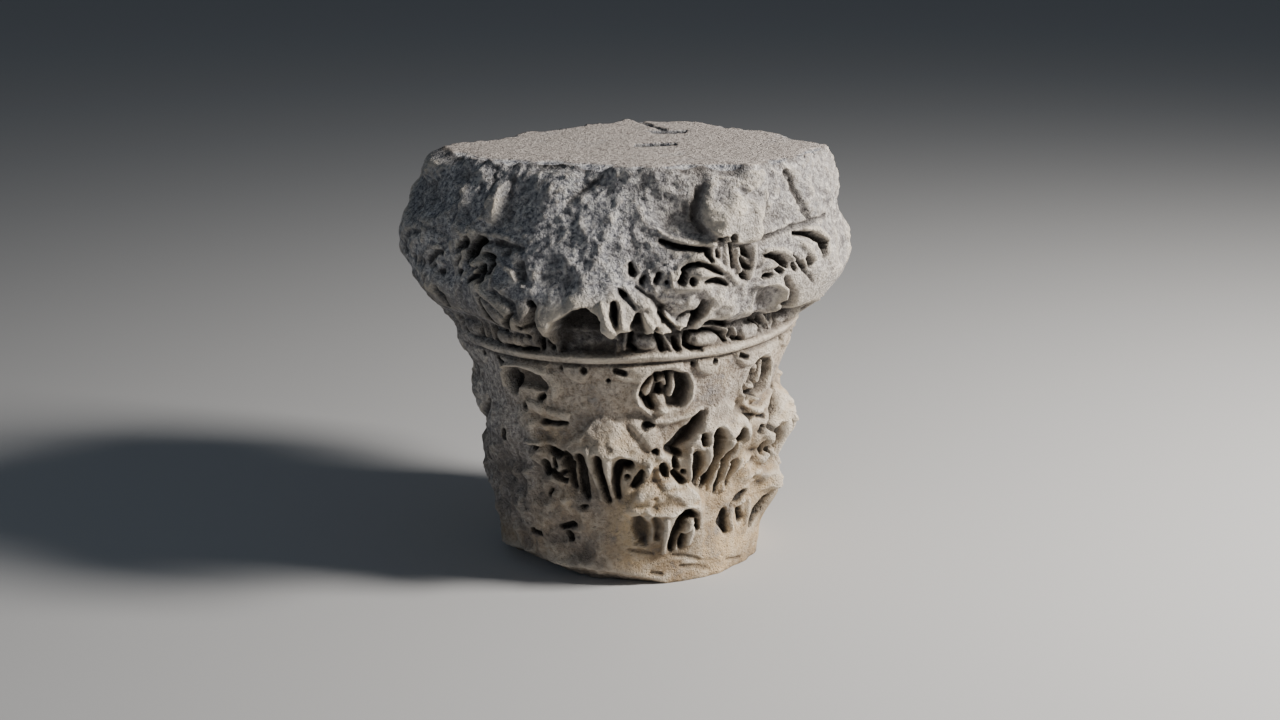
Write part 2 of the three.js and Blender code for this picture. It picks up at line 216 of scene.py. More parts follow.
def from_line(a, z, scale, start, end):
    """How far points lie from the line between two marks in mm, how far along it from 0 to 1,
    and the mm sideways and upwards from its start, to the points and to its end."""
    across = (a - start[0]) * scale
    up = z - start[1]
    du = (end[0] - start[0]) * scale
    dv = end[1] - start[1]
    t = np.clip((across * du + up * dv) / (du * du + dv * dv + 1e-9), 0, 1)
    return np.hypot(across - t * du, up - t * dv), t, across, up, du, dv


def moved(strokes, centre, lift=0, flip=1):
    """The same strokes round another bearing, raised by lift and mirrored where flip is -1."""
    return [[(centre + flip * p[0], p[1] + lift, *p[2:]) for p in stroke] for stroke in strokes]


class Stone:
    """The side of the stone as a net: a row for each height and a column for each bearing.

    radius is the distance from the axis in mm, mass the same before carving, soil how much real
    dirt and painted shade darken the place, torn where the stone is broken rough, crisp how sharp
    the carving still is, and kept 0 where a corner is broken away. A stroke is a list of (bearing,
    height, half width in mm), and an outline is a closed list of (bearing, height)."""

    def __init__(self):
        self.step = 360 / COLUMNS
        self.heights = HEIGHT * np.arange(ROWS + 1) / ROWS
        self.a, self.z = np.meshgrid(-180 + self.step * np.arange(COLUMNS), self.heights)
        whole = whole_radius(self.a, self.z)
        self.mass = cut_by_faces(whole, BREAK_FACES, self.a, HEIGHT - self.z)
        self.mass = cut_by_faces(self.mass, FOOT_BREAKS, self.a, self.z)
        self.radius = self.mass.copy()
        self.soil_and_shade = np.zeros_like(self.radius)
        self.torn = np.zeros_like(self.radius)
        self.crisp = crispness(self.a)
        self.kept = 1 - soft((whole - self.mass - 3) / 8)
        self.place = self.points(self.mass)
        self.wobble = 1.3 * fractal(self.place, 14, 3, 3)

    def points(self, radius):
        """x, y and z of the net for a radius field."""
        return np.stack([radius * np.sin(self.a * RAD), -radius * np.cos(self.a * RAD), self.z])

    def add_dirt_and_shade(self, amount, at=...):
        """Raise the dirt and painted shade to an amount where there is less."""
        self.soil_and_shade[at] = np.maximum(self.soil_and_shade[at], amount)

    def tear(self, at, inside, share=1.0):
        """Mark a place as broken rough, from 8 mm inside its outline on."""
        self.torn[at] = np.maximum(self.torn[at], soft(inside / 8) * share)

    def around(self, bearing, half, fade):
        """1 near a bearing, falling softly to 0 at half degrees from it."""
        return soft((half - np.abs(turn_from(bearing, self.a))) / fade)

    def window(self, marks, margin):
        """Rows and columns round some marks, with their bearings, heights and mm per degree."""
        low = min(m[0] for m in marks)
        high = max(m[0] for m in marks)
        middle = int(round(((low + high) / 2 + 180) / self.step)) % COLUMNS
        row = int(np.clip(np.mean([m[1] for m in marks]) / HEIGHT * ROWS, 0, ROWS))
        scale = RAD * self.mass[row, middle]
        first = int(math.floor((low - margin / scale + 180) / self.step))
        last = int(math.ceil((high + margin / scale + 180) / self.step))
        columns = np.arange(first, last + 1)
        bottom = max(0, int((min(m[1] for m in marks) - margin) / HEIGHT * ROWS))
        top = min(ROWS, int((max(m[1] for m in marks) + margin) / HEIGHT * ROWS) + 1)
        rows = np.arange(bottom, top + 1)
        at = np.ix_(rows, columns % COLUMNS)
        return at, columns * self.step - 180, self.heights[rows][:, None], scale

    def stroke(self, points, margin):
        """Window of a stroke, mm inside its outline, and 1 on its line falling to 0 there."""
        reach = margin + max(p[2] for p in points)
        at, a, z, scale = self.window(points, reach)
        inside = np.full((z.shape[0], a.shape[0]), -FAR)
        share = inside.copy()
        for start, end in zip(points, points[1:] or points):
            away, t, *_ = from_line(a, z, scale, start, end)
            width = start[2] + (end[2] - start[2]) * t
            inside = np.maximum(inside, width - away)
            share = np.maximum(share, 1 - away / width)
        return at, inside + self.wobble[at], share

    def outline(self, points, margin=14):
        """Window of a closed outline and the signed distance in mm, positive inside."""
        at, a, z, scale = self.window(points, margin)
        nearest = np.full((z.shape[0], a.shape[0]), FAR)
        crossings = np.zeros(nearest.shape, int)
        for start, end in zip(points, points[1:] + points[:1]):
            away, _, across, up, du, dv = from_line(a, z, scale, start, end)
            nearest = np.minimum(nearest, away)
            straddles = (start[1] > z) != (end[1] > z)
            crossings += straddles & (across < du * up / (dv if dv else 1e-9))
        distance = np.where(crossings % 2 == 1, nearest, -nearest)
        return at, distance + self.wobble[at], a, z

    def groove(self, strokes, wall, share, shoulder):
        """Section of a channel: a steep core, soft(mm inside / wall), and a rounded shoulder
        that reaches further out and holds a share of the depth."""
        total = np.zeros_like(self.radius)
        core = total.copy()
        for points in strokes:
            at, inside, _ = self.stroke(points, margin=shoulder + 2)
            steep = soft(inside / wall + 0.5)
            round_edge = soft((inside + shoulder) / (shoulder + 3))
            core[at] = np.maximum(core[at], soft((inside + 2.5) / wall))
            total[at] = np.maximum(total[at], share * round_edge + (1 - share) * steep)
        return total, core

    def fold(self, stations, low, high, lean):
        """Long upright facets: straight lines through (bearing, mm) stations, which lean by
        degrees per mm of height and fade out over 30 mm at both ends."""
        middle = (low + high) / 2
        a = self.a - lean * (self.z - middle) + 3.5 * hills(self.place, 60, 140)
        a = a + 1.2 * hills(self.place, 18, 141)
        bearings, depths = zip(*stations)
        fade = soft((self.z - low) / 30) * soft((high - self.z) / 30)
        self.radius += np.interp(a, bearings, depths, left=0, right=0) * fade

    def fit_profile(self, bearing, stations, spread):
        """Move the stone out or in so that, at one bearing, its mean follows the measured
        outline, fading as exp(-(turn / spread)^2) to both sides."""
        near = np.abs(turn_from(bearing, self.a[0])) < 4
        now = self.radius[:, near].mean(axis=1)
        heights, radii = zip(*stations)
        gap = np.interp(self.heights, heights, radii) - now
        gap = np.convolve(np.pad(gap, 3, mode="edge"), np.ones(7) / 7, mode="valid")
        self.radius += gap[:, None] * np.exp(-(turn_from(bearing, self.a) / spread) ** 2)

    def hollow(self, points, low, radius, rise, soil_and_shade, wall=5):
        """A deep hollow inside an outline: the stone goes back to radius + rise * t^2, where t
        grows from 0 to 1 over 40 mm above a height. Its dirt and painted shade are thin below that
        height."""
        at, inside, _, z = self.outline(points)
        floor = radius + rise * np.clip((z - low) / 40, 0, 1) ** 2 + 2.5 * self.wobble[at]
        mask = soft((inside + self.wobble[at]) / wall + 0.5)
        self.radius[at] += (np.minimum(self.radius[at], floor) - self.radius[at]) * mask
        self.add_dirt_and_shade(soil_and_shade * mask * (0.35 + 0.65 * soft((z - low + 24) / 40)), at)

    def keep_inside(self, box, soft_zone=7, gap=0.6):
        """Hold the stone a small gap inside the solid's box: what comes into the soft zone before
        the limit is pressed back by tanh."""
        sine = np.sin(self.a * RAD)
        cosine = -np.cos(self.a * RAD)
        limit = np.full_like(self.radius, FAR)
        for axis, part in ((0, sine), (1, cosine)):
            for corner in box:
                reach = corner[axis] / MM / np.where(np.abs(part) < 1e-6, 1e-6, part)
                limit = np.where(reach > 0, np.minimum(limit, reach - gap), limit)
        over = np.maximum(self.radius - limit + soft_zone, 0)
        self.radius += soft_zone * np.tanh(over / soft_zone) - over

    def cut(self, strokes, depth, wall=3, soil_and_shade=1.0, hold=1.0):
        """Grooves and drill holes: depth * soft(mm inside / wall), the deepest where they meet."""
        total, core = self.groove(strokes, wall, 0.2, 5)
        self.radius -= depth * total * hold * self.crisp
        # dirt and painted shadow in the core of the cut
        self.add_dirt_and_shade(soil_and_shade * core * hold * self.crisp)

    def sink(self, strokes, below, wall, soil_and_shade=1.0):
        """Channels down to a floor that lies below the bare block, with steep walls."""
        total, core = self.groove(strokes, wall, 0.3, 7)
        floor = np.minimum(self.radius, self.mass - below)
        self.radius += (floor - self.radius) * total * self.crisp
        # dirt and painted shadow in the core of the channel
        self.add_dirt_and_shade(soil_and_shade * core * self.crisp)

    def swell(self, strokes, height, power=0.5, hold=1.0):
        """Ridges and lumps: height * (1 - (1 - share)^2)^power, the highest where they meet."""
        total = np.zeros_like(self.radius)
        for points in strokes:
            at, _, share = self.stroke(points, margin=1)
            share = np.clip(share + 0.02 * self.wobble[at], 0, 1)
            total[at] = np.maximum(total[at], (1 - (1 - share) ** 2) ** power)
        total *= hold * self.crisp
        self.radius += height * total
        # ridges lose most of the painted dirt and shade
        self.soil_and_shade *= 1 - 0.8 * total

    def scoop(self, bearing, height, half_width, half_height, depth, lean=0.0, slope=0.0):
        """A shell-shaped break: depth * (1 - d^2) inside the oval d < 1, leaning by lean degrees."""
        reach = max(half_width, half_height)
        at, a, z, scale = self.window([(bearing, height)], reach * 1.4)
        across = (a - bearing) * scale
        up = z - height
        turned = across * math.cos(lean * RAD) + up * math.sin(lean * RAD)
        risen = up * math.cos(lean * RAD) - across * math.sin(lean * RAD)
        d = (turned / half_width) ** 2 + (risen / half_height) ** 2 + 0.06 * self.wobble[at]
        self.radius[at] -= depth * np.clip(1 - d, 0, 1) * (1 + slope * turned / half_width)

    def plane(self, points, reach, wall=14):
        """A flat break inside an outline: the stone is cut to radius + slope * mm sideways +
        slope * mm upwards from the middle. reach holds the radius and the two slopes."""
        at, inside, a, z = self.outline(points)
        middle = np.mean([p[0] for p in points])
        height = np.mean([p[1] for p in points])
        scale = RAD * reach[0]
        flat = reach[0] + reach[1] * (a - middle) * scale + reach[2] * (z - height)
        cut = np.minimum(self.radius[at], flat)
        self.radius[at] += (cut - self.radius[at]) * soft(inside / wall + 0.5)


# The leaves. Bearings are from the middle of the leaf, heights are those of the leaf in front.
# tip is the outline of the broken end, reach how far it stands out in mm, section its share by
# bearing, channels are (mm below the bare bell, stroke), and shallow are softer hollows.

FRONT_UPPER_LEAF = {
    "tip": [
        (-8.5, 258), (-11.5, 241), (-13.8, 232), (-15, 222), (-12.6, 219), (-9.5, 216), (-8, 224),
        (-5.5, 230), (-4, 226), (-3, 216), (-3.5, 203), (-1, 212), (2.5, 221), (4.5, 214), (6.5, 199),
        (8, 214), (9.8, 238), (2.8, 258), (-3.2, 268),
    ],
    "top": 268, "lip": 212, "foot": 122, "reach": 33,
    "section": [(-16, 0.5), (-12, 0.85), (-6, 1), (2, 1.02), (7, 0.9), (12, 0.6), (22, 0.35)],
    "channels": [
        (7, [(-13, 193, 5), (-12.6, 177, 9.5), (-12.2, 156, 8), (-12.2, 145, 4)]),
        (8, [(-5.6, 222, 6), (-5.2, 210, 8.5), (-4.2, 188, 8), (-6.2, 166, 6.5), (-8.4, 150, 5),
            (-10.3, 140, 3)]),
        (2, [(-11, 220, 4), (-10.4, 208, 4)]),
        (-10, [(4, 216, 5), (3.2, 207, 7)]),
        (5, [(1.8, 196, 4), (0.4, 186, 5), (-1.2, 176, 4), (-2.1, 159, 3.5), (-2.4, 140, 3.5),
            (-2.8, 126, 3)]),
        (5, [(3.1, 169, 3), (2.6, 151, 3.5), (2.2, 133, 3)]),
    ],
    "ribs": [
        [(-15.8, 203, 3), (-16.6, 185, 3), (-15.6, 156, 3)],
        [(-9.6, 204, 4), (-9.2, 183, 4), (-9.4, 165, 4), (-11.4, 146, 4)],
        [(0, 204, 5), (-1.7, 184, 4.5), (-4.4, 160, 4.5), (-6, 138, 5)],
        [(5.5, 171, 4), (4.2, 154, 3), (0.4, 126, 3)], [(0.8, 168, 2.5), (0.2, 145, 2.5)],
    ],
}
LEFT_UPPER_LEAF = {
    "tip": [
        (-8, 222), (-10.5, 207), (-6.4, 200), (-3, 207), (-0.8, 207), (0, 195), (1.3, 190), (4.5, 200),
        (6, 208), (7.9, 201), (10.9, 204), (13.9, 197), (16.1, 191), (19.2, 186), (20.6, 168), (22, 193),
        (19.1, 209), (16.1, 228), (12.4, 243), (5.2, 257), (1.5, 251), (-2.2, 236),
    ],
    "top": 257, "lip": 200, "foot": 118, "reach": 33,
    "section": [(-14, 0.2), (-7, 0.45), (-1, 0.74), (3.6, 1.08), (10, 0.82), (17, 0.6), (21, 0.4)],
    "channels": [
        (6, [(-9.8, 196, 6), (-8.8, 184, 9), (-8, 168, 8), (-7.6, 150, 5)]),
        (8, [(-4.3, 195, 6), (-4.1, 178, 7.5), (-4.3, 160, 8), (-4.1, 144, 6.5), (-3, 136, 4)]),
        (9, [(2.9, 200, 3.5), (2.7, 178, 4.5), (4.1, 158, 4.5), (5.2, 136, 4), (5.6, 129, 2)]),
        (9, [(13.5, 188, 7), (11, 189, 7), (9.8, 179, 6.5), (8.4, 163, 5), (8.7, 145, 4), (9.4, 137, 3)]),
        (7, [(12.9, 169, 4)]),
        (6, [(18.6, 174, 4), (16.9, 163, 6), (15.4, 154, 4)]),
    ],
    "ribs": [
        [(-6.9, 193, 2.5), (-7.1, 163, 3), (-6.6, 140, 3)],
        [(-0.6, 213, 4), (-0.1, 190, 4), (1.4, 167, 3.5), (2.8, 133, 3.5)],
        [(6.4, 202, 6), (6.4, 174, 5.5), (7.1, 139, 5)], [(19.9, 194, 6), (20.8, 183, 6), (19.9, 166, 4)],
    ],
}
FRONT_LOWER_LEAF = {
    "tip": [
        (-19, 117), (-16.5, 132), (-12.4, 150), (-9, 156), (-4.1, 160), (3.8, 156), (7.9, 141),
        (10.6, 126), (10, 113), (6, 117), (4.1, 116), (1.1, 113), (-1.5, 109), (-4.5, 111), (-6.4, 111),
        (-9, 113), (-11.5, 119), (-14, 108),
    ],
    "top": 161, "lip": 108, "foot": 34, "reach": 31,
    "section": [(-20, 0.3), (-14, 0.75), (-9, 0.95), (-2, 1.05), (5, 1), (10, 0.75), (12, 0.5)],
    "channels": [
        (7, [(8, 103, 4), (4.5, 107, 7.5), (2.4, 98, 7.5), (0.8, 80, 7), (-0.4, 64, 6.5), (-0.8, 54, 4)]),
        (3, [(8.8, 92, 3.5), (9.6, 80, 3)]),
        (4, [(3.4, 73, 5.5), (2.8, 58, 4)]),
    ],
    "shallow": [
        [(-13.4, 103, 8), (-12.4, 93, 12), (-11.8, 82, 10), (-11.4, 70, 5)],
        [(-7.2, 105, 4), (-6.4, 92, 5), (-6.6, 76, 4)],
    ],
    "ribs": [
        [(-3.4, 106, 4), (-3.2, 80, 4), (-3.8, 50, 4)],
        [(6.4, 95, 4), (4.4, 83, 4), (1.8, 67, 3.5), (0.8, 54, 3)], [(7, 83, 5), (6.2, 60, 5)],
    ],
}
RIGHT_LOWER_LEAF = {
    "tip": [
        (-18.4, 116), (-15, 124), (-10.5, 118), (-6, 110), (-3, 104), (1, 103), (5, 108), (9, 101),
        (13, 104), (19, 112), (21, 128), (16, 146), (6, 160), (-4, 172), (-11, 170), (-15, 152),
    ],
    "top": 172, "lip": 104, "foot": 36, "reach": 29,
    "section": [
        (-18, 0.12), (-12, 0.18), (-5, 0.28), (0, 0.36), (6, 0.85), (11, 1.05), (18, 0.85), (22, 0.5),
    ],
    "channels": [
        (7, [(8.2, 88, 6), (6, 80, 11), (4, 71, 12), (2, 62, 9), (0.6, 54, 5)]),
        (3, [(-7.5, 112, 4.5), (-11, 105, 7), (-14, 99, 4)]),
        (10, [(-9.6, 87, 6), (-8.2, 73, 5)]),
        (8, [(-18.2, 94, 4), (-19, 79, 8), (-16.6, 61, 4)]),
    ],
    "ribs": [
        [(-13.5, 100, 4), (-10.4, 97, 4), (-7.9, 101, 3)], [(-14, 96, 4), (-15.4, 80, 5), (-13.6, 62, 4)],
        [(-5, 100, 4), (-4.4, 84, 4), (-5, 62, 3)],
    ],
}

# Pattern, bearing, lift, mirror and how far it stands out, for each leaf going round
UPPER_LEAVES = [
    (FRONT_UPPER_LEAF, 4, 0, 1, 1.0), (LEFT_UPPER_LEAF, -48, 0, 1, 1.0),
    (LEFT_UPPER_LEAF, 45, -2, -1, 1.05), (FRONT_UPPER_LEAF, 91, -8, -1, 0.9),
    (LEFT_UPPER_LEAF, 136, 2, 1, 0.85), (FRONT_UPPER_LEAF, 180, -6, 1, 0.95),
    (LEFT_UPPER_LEAF, -135, -4, -1, 0.7), (FRONT_UPPER_LEAF, -93, -4, 1, 0.6),
]
LOWER_LEAVES = [
    (FRONT_LOWER_LEAF, -18, 0, 1, 1.0), (RIGHT_LOWER_LEAF, 24, 0, 1, 1.0),
    (FRONT_LOWER_LEAF, 69, -20, -1, 0.9), (RIGHT_LOWER_LEAF, 113, 6, -1, 0.9),
    (FRONT_LOWER_LEAF, 157, -8, 1, 0.95), (RIGHT_LOWER_LEAF, -158, 4, 1, 0.7),
    (FRONT_LOWER_LEAF, -113, -10, -1, 0.5), (RIGHT_LOWER_LEAF, -70, 4, -1, 0.45),
]


LEAF_SIDE = 3              # degrees over which a leaf falls back to the bell
LEAF_BODY = 0.74           # how far its body stands out, as a share of its tip
LEAF_SHADE = 0.34          # painted shade under its lip
LEAST_CARVED = 0.65        # a leaf that stands out less than this has lost its channels


def leaf(stone, pattern, centre, lift, flip, share):
    """One broken leaf. Its body stands out by reach * section * soft steps up from its foot and
    down to its top, its tip by reach * section * (way down from the top)^0.75 as far as the
    lip, and drilled channels run down between its ribs."""
    top, lip, foot, reach = (pattern[key] for key in ("top", "lip", "foot", "reach"))
    offsets, shares = zip(*pattern["section"])
    offsets = (offsets[0] - LEAF_SIDE, *offsets, offsets[-1] + LEAF_SIDE)
    shares = (0, *shares, 0)
    rise = soft((stone.z - foot - lift) / (lip - foot))
    fall = soft((top + lift - stone.z) / (top - lip))
    section = np.interp(flip * turn_from(centre, stone.a), offsets, shares)
    stone.radius += LEAF_BODY * share * reach * (section * rise * fall) * stone.crisp
    tip = [(centre + flip * p[0], p[1] + lift) for p in pattern["tip"]]
    at, inside, a, z = stone.outline(tip)
    down = np.clip((top + lift - z) / (top - lip), 0, 1)
    across = np.interp(flip * turn_from(centre, a), offsets, shares)
    stump = reach * share * down ** 0.75 * across
    grown = np.maximum(stone.radius[at], stone.mass[at] + stump * stone.crisp[at])
    stone.radius[at] += (grown - stone.radius[at]) * soft(inside / 4 + 0.5)
    stone.tear(at, inside, share)
    # painted shade under the lip, down to the foot
    shade = soft((lip + lift - stone.z) / 14 + 0.4)
    shade = shade * soft((stone.z - foot - lift) / 24) * section * stone.crisp
    stone.add_dirt_and_shade(LEAF_SHADE * share * np.clip(shade, 0, 1))
    if share > LEAST_CARVED:
        for below, stroke in pattern["channels"]:
            stone.sink(moved([stroke], centre, lift, flip), below + 3 * (1 - share), wall=3.5)
        stone.cut(moved(pattern.get("shallow", []), centre, lift, flip), 13, wall=9, soil_and_shade=0.65)
        stone.swell(moved(pattern["ribs"], centre, lift, flip), 5)


# The round scrolls between the upper leaves: bearings and heights from the scroll's middle

SCROLL_HALF_ANGLE = 10.2
SCROLL_HALF_HEIGHT = 38
SCROLL_RIM = 5.5
SCROLL_SINK = 15
SCROLL_DEEP = [[(6.2, 18, 7), (7, 2, 9), (5.5, -14, 7)]]
SCROLL_PETALS = [
    [(-7.8, -9, 5), (-6.5, 0, 8), (-5.2, 9, 5)], [(-4.8, 12, 4.5), (-3.8, 22, 3)],
    [(-2.5, 14, 5), (-0.5, 17, 5), (0.5, 8, 4)], [(2.6, 22, 4), (3, 3, 6), (2.2, -8, 5)],
    [(-1.6, -14, 10), (-1.2, -22, 9), (-0.6, -27, 8)],
]
SCROLL_SLOTS = [
    [(-1.8, 8, 3), (-1.8, -2, 5.5)], [(-5.6, -14, 3), (-4.6, -26, 3)], [(-8.6, -4, 3), (-7, -14, 3)],
    [(1, 24, 2), (1.2, 2, 2)], [(-3.6, 28, 2.5), (-2.9, 14, 2)],
]
SCROLL_BAND = [[(-9, -20, 4), (-7, -32, 4.5), (-4, -43, 5), (1, -47, 5), (7, -43, 4.5), (14, -34, 3)]]
SCROLL_HOLLOW = [[(-13, -35, 5), (-9.8, -33, 9), (-6.4, -42, 6)]]
SCROLL_SLIT = [[(-7.6, -51, 4), (-4.4, -50, 2)]]
# Bearing, height, mirror and how crisp, for each scroll going round
SCROLLS = [
    (-21, 292, 1, 1.0), (20, 282, 1, 1.0), (68, 288, -1, 0.9), (113, 292, 1, 0.85), (158, 286, -1, 0.9),
    (-158, 290, 1, 0.7), (-113, 292, 1, 0.5),
]

# The scroll on the left has lost its flower: its eye is one long deep hollow
BARE_EYE = [[(-79, 285, 8), (-79, 300, 15), (-74, 306, 13), (-68, 303, 12), (-65, 296, 8)]]
BARE_DEEP = [[(-80, 290, 8), (-79, 304, 10)], [(-67, 277, 4), (-65.5, 281, 3)]]
BARE_RIM = [
    [(-83.5, 285, 3), (-83.6, 302, 3), (-80, 320, 3), (-72, 325, 3), (-66, 323, 5), (-60, 312, 8),
     (-58.6, 296, 9), (-60.5, 281, 5)],
]


def bare_scroll(stone):
    """The left scroll: a deep oval eye, thin on its left and with a broad smooth band on its
    right."""
    stone.swell(BARE_RIM, 7)
    stone.cut(BARE_EYE, 13, wall=6, soil_and_shade=0.45)
    stone.cut(BARE_DEEP, 11, wall=8)


def scroll(stone, centre, height, flip, share):
    """A scroll: an oval rim round a sunk eye with a flower of petals, and the band under it.

    d is 1 on the oval. The rim stands out by exp(-((d - 0.98) / 0.1)^2)."""
    at, a, z, _ = stone.window([(centre, height)], 60)
    d = np.hypot((a - centre) / SCROLL_HALF_ANGLE, (z - height + 3.5) / SCROLL_HALF_HEIGHT)
    d = d + 0.012 * stone.wobble[at]
    rim = np.exp(-((d - 0.98) / 0.1) ** 2) * soft((z - height + 34) / 14)
    eye = soft((0.91 - d) / 0.1) * soft((z - height + 31) / 8)
    crisp = stone.crisp[at] * share

    def here(strokes):
        return moved(strokes, centre, height, flip)

    stone.radius[at] += (stone.mass[at] - stone.radius[at]) * soft((1.1 - d) / 0.15) * crisp
    stone.radius[at] += (SCROLL_RIM * rim - SCROLL_SINK * eye) * crisp
    # painted shade and dirt in the sunk eye
    stone.add_dirt_and_shade(0.45 * eye * crisp, at)
    stone.cut(here(SCROLL_DEEP), 6 * share, wall=6, soil_and_shade=0.8)
    stone.swell(here(SCROLL_PETALS), 13 * share)
    stone.cut(here(SCROLL_SLOTS), 11 * share)
    stone.swell(here(SCROLL_BAND), 6 * share)
    stone.sink(here(SCROLL_HOLLOW), 4 * share, wall=14, soil_and_shade=0.35)
    stone.cut(here(SCROLL_SLIT), 8 * share)


# Between two upper leaves, from the middle of the gap: the stalk that carries the scroll, the
# lobes under it, the drill holes in them and the slanting hollow under the next leaf's edge
STALK = [[(-8, 243, 20), (-4, 215, 14), (-2, 200, 8)]]
LOBES = [[(-4, 192, 14), (6, 178, 22)], [(1, 166, 18), (7, 165, 16)]]
LOBE_HOLES = [
    [(-1, 182, 4.5), (0, 169, 5)], [(3, 170, 5), (6, 158, 5)], [(3.4, 189, 3), (3.8, 180, 4)],
    [(6.6, 171, 3.5)], [(-4, 204, 4)], [(1.5, 203, 4), (5, 197, 5)],
]
SLANTING_HOLLOW = [[(1.4, 205, 4), (4, 210, 7), (7.4, 222, 7), (10.6, 236, 6), (13.4, 251, 3.5)]]
HOLLOW_DEPTH = 14

# The lips that hang from the ring over a leaf, from its middle, and their drill holes
LAPPETS = [
    [(-15, 333), (-14, 318), (-12, 311), (-9, 308), (-7, 311), (-6, 319), (-6, 333)],
    [(1, 333), (3, 317), (6, 309), (10, 308), (16, 313), (24, 316), (26, 333)],
]
LAPPET_HOLES = [[(-15.5, 327, 2.5)], [(-7.3, 326, 4)], [(3.5, 326, 4), (6, 322, 3)]]


def stalk_and_lobes(stone, centre, share):
    """What fills the gap between two upper leaves."""
    stone.swell(moved(STALK, centre), 9 * share, power=0.8)
    stone.swell(moved(LOBES, centre), 12 * share, power=0.7)
    stone.cut(moved(LOBE_HOLES, centre), 15 * share)


def lappets(stone, centre, share):
    """The lips over a leaf: they stand out 7 mm and run out into the ring above them."""
    for shape in LAPPETS:
        at, inside, _, z = stone.outline([(centre + p[0], p[1]) for p in shape])
        lip = soft(inside / 5 + 0.5) * soft((RING_HEIGHT - z) / 12)
        stone.radius[at] += 7 * share * lip * stone.crisp[at]
    stone.cut(moved(LAPPET_HOLES, centre), 9 * share)


# The zone over the ring, on its front side: bearings and heights as measured

FOLIAGE_GROOVES = [
    [(-22.5, 503, 2), (-18, 496, 3.2), (-14, 493, 3), (-11, 492, 3)],
    [(-11, 492, 3), (-11.3, 485, 4), (-10.5, 479, 3)], [(-8.7, 491, 1.6), (-8.3, 483, 2.6)],
    [(-7, 506, 2.6)], [(-4.6, 508, 3.5), (-4.2, 497, 4), (-4, 488, 4), (-3.2, 476, 3), (-2.8, 463, 2)],
    [(0.1, 487, 4), (1.5, 479, 3.5), (2.4, 475, 1.5)], [(-0.3, 474, 2.6), (1, 464, 3.6), (2.6, 458, 2)],
    [(0.8, 453, 2.6), (1.4, 447, 2.6)],
    [(-18, 468, 1.4), (-16, 473, 2.8), (-13.5, 475, 3.4), (-11, 470, 3.5), (-8.5, 462, 2.5),
     (-6.5, 457, 1)], [(-12, 450, 1.5), (-9.5, 451, 3.8), (-7, 447, 4), (-4.5, 440, 2)],
    [(-17.5, 463, 3), (-18.5, 452, 4)], [(-15.5, 455, 3.3), (-15.9, 450, 3)],
    [(-28, 459, 1.8), (-29, 452, 2.4)], [(-24, 462, 1.8), (-25.3, 452, 2.5)], [(-22.2, 452, 2.4)],
    [(-32, 474, 2), (-31.5, 464, 5)], [(-34.8, 441, 3), (-34, 438, 3)], [(-22.5, 474, 1.8)],
    [(7.5, 472, 1.5), (9.5, 472, 3.3), (12, 466, 4), (14.3, 455, 4), (15, 451, 2)],
    [(16, 468, 1), (17.5, 462, 2), (20, 447, 1.5)],
    [(17.3, 496, 1.5), (23, 490, 4), (26.5, 480, 4), (28.6, 470, 6), (29.2, 458, 6)],
    [(8.3, 443, 4), (10.2, 444, 2.5)], [(11.8, 453, 3), (13.2, 446, 2.5)],
    [(16.8, 454, 3.3), (17.6, 447, 3)], [(21.8, 457, 2.8), (22.8, 449, 3.5)],
    [(38.2, 449, 5), (39, 444, 6)], [(36.5, 463, 1.5)],
]
FOLIAGE_LINES = [
    [(6, 495, 1.5), (12, 501, 2.6), (18, 505, 2.6), (25, 508, 2), (32, 510, 1.5)],
    [(20, 444, 1.2), (22.5, 435, 1.8), (25, 420, 1.2)],
    [(16.5, 584, 4), (19, 556, 6), (21.3, 528, 5.5), (23.3, 512, 3)],
]
FOLIAGE_RIDGES = [
    [(-23, 516, 3), (-19, 505, 4), (-15, 501, 4), (-9.5, 500, 4)],
    [(-20, 458, 4), (-18.5, 472, 5), (-14, 483, 5), (-9, 476, 5), (-6, 462, 4)],
    [(-14, 462, 4), (-11, 461, 5), (-7, 453, 4)],
    [(-5.5, 500, 4), (-5.5, 480, 5), (-4.8, 460, 4), (-1, 442, 5)],
    [(-1.4, 488, 3), (-1.3, 470, 3.2), (0, 456, 3)], [(4, 488, 4), (4, 466, 5), (3, 446, 5)],
    [(6.5, 462, 3), (8, 480, 4), (13, 477, 5), (17, 462, 4)],
    [(8, 455, 3), (10.5, 458, 4), (13.5, 449, 3)], [(19, 482, 4), (22, 472, 6), (24, 456, 5)],
    [(21, 500, 4), (26, 495, 5), (29.5, 480, 5), (29.5, 466, 4)], [(-27, 466, 3), (-26.5, 452, 3)],
    [(-21, 464, 3), (-21, 448, 3)], [(19.4, 458, 3), (20.6, 446, 3)],
]
LOWER_GAPS = [
    [(-37, 428, 2.5), (-36.8, 412, 4), (-36.4, 402, 2)], [(-30.5, 412, 3), (-31, 399, 8), (-30, 389, 8)],
    [(-26, 391, 3.5)], [(-25, 412, 1.5), (-22, 397, 4), (-19, 382, 3)],
    [(-11.3, 421, 2), (-12.5, 405, 5), (-15, 386, 4.5)],
    [(15.2, 436, 2), (17, 420, 4.5), (19, 403, 9), (21, 384, 8)], [(16.2, 398, 3), (17.5, 389, 3.5)],
]
LOWER_RIDGES = [
    [(-40, 430, 4), (-38.6, 405, 6), (-36.5, 390, 3)], [(-35, 425, 3), (-34.6, 400, 4)],
    [(-29, 412, 4), (-27.3, 398, 5), (-26.4, 387, 2)],
    [(-23, 412, 3), (-20.5, 394, 3.5), (-18.5, 384, 2)],
    [(6.5, 431, 2), (12, 429, 3), (15.3, 419, 3.5), (16, 404, 3), (14.6, 388, 2)],
]
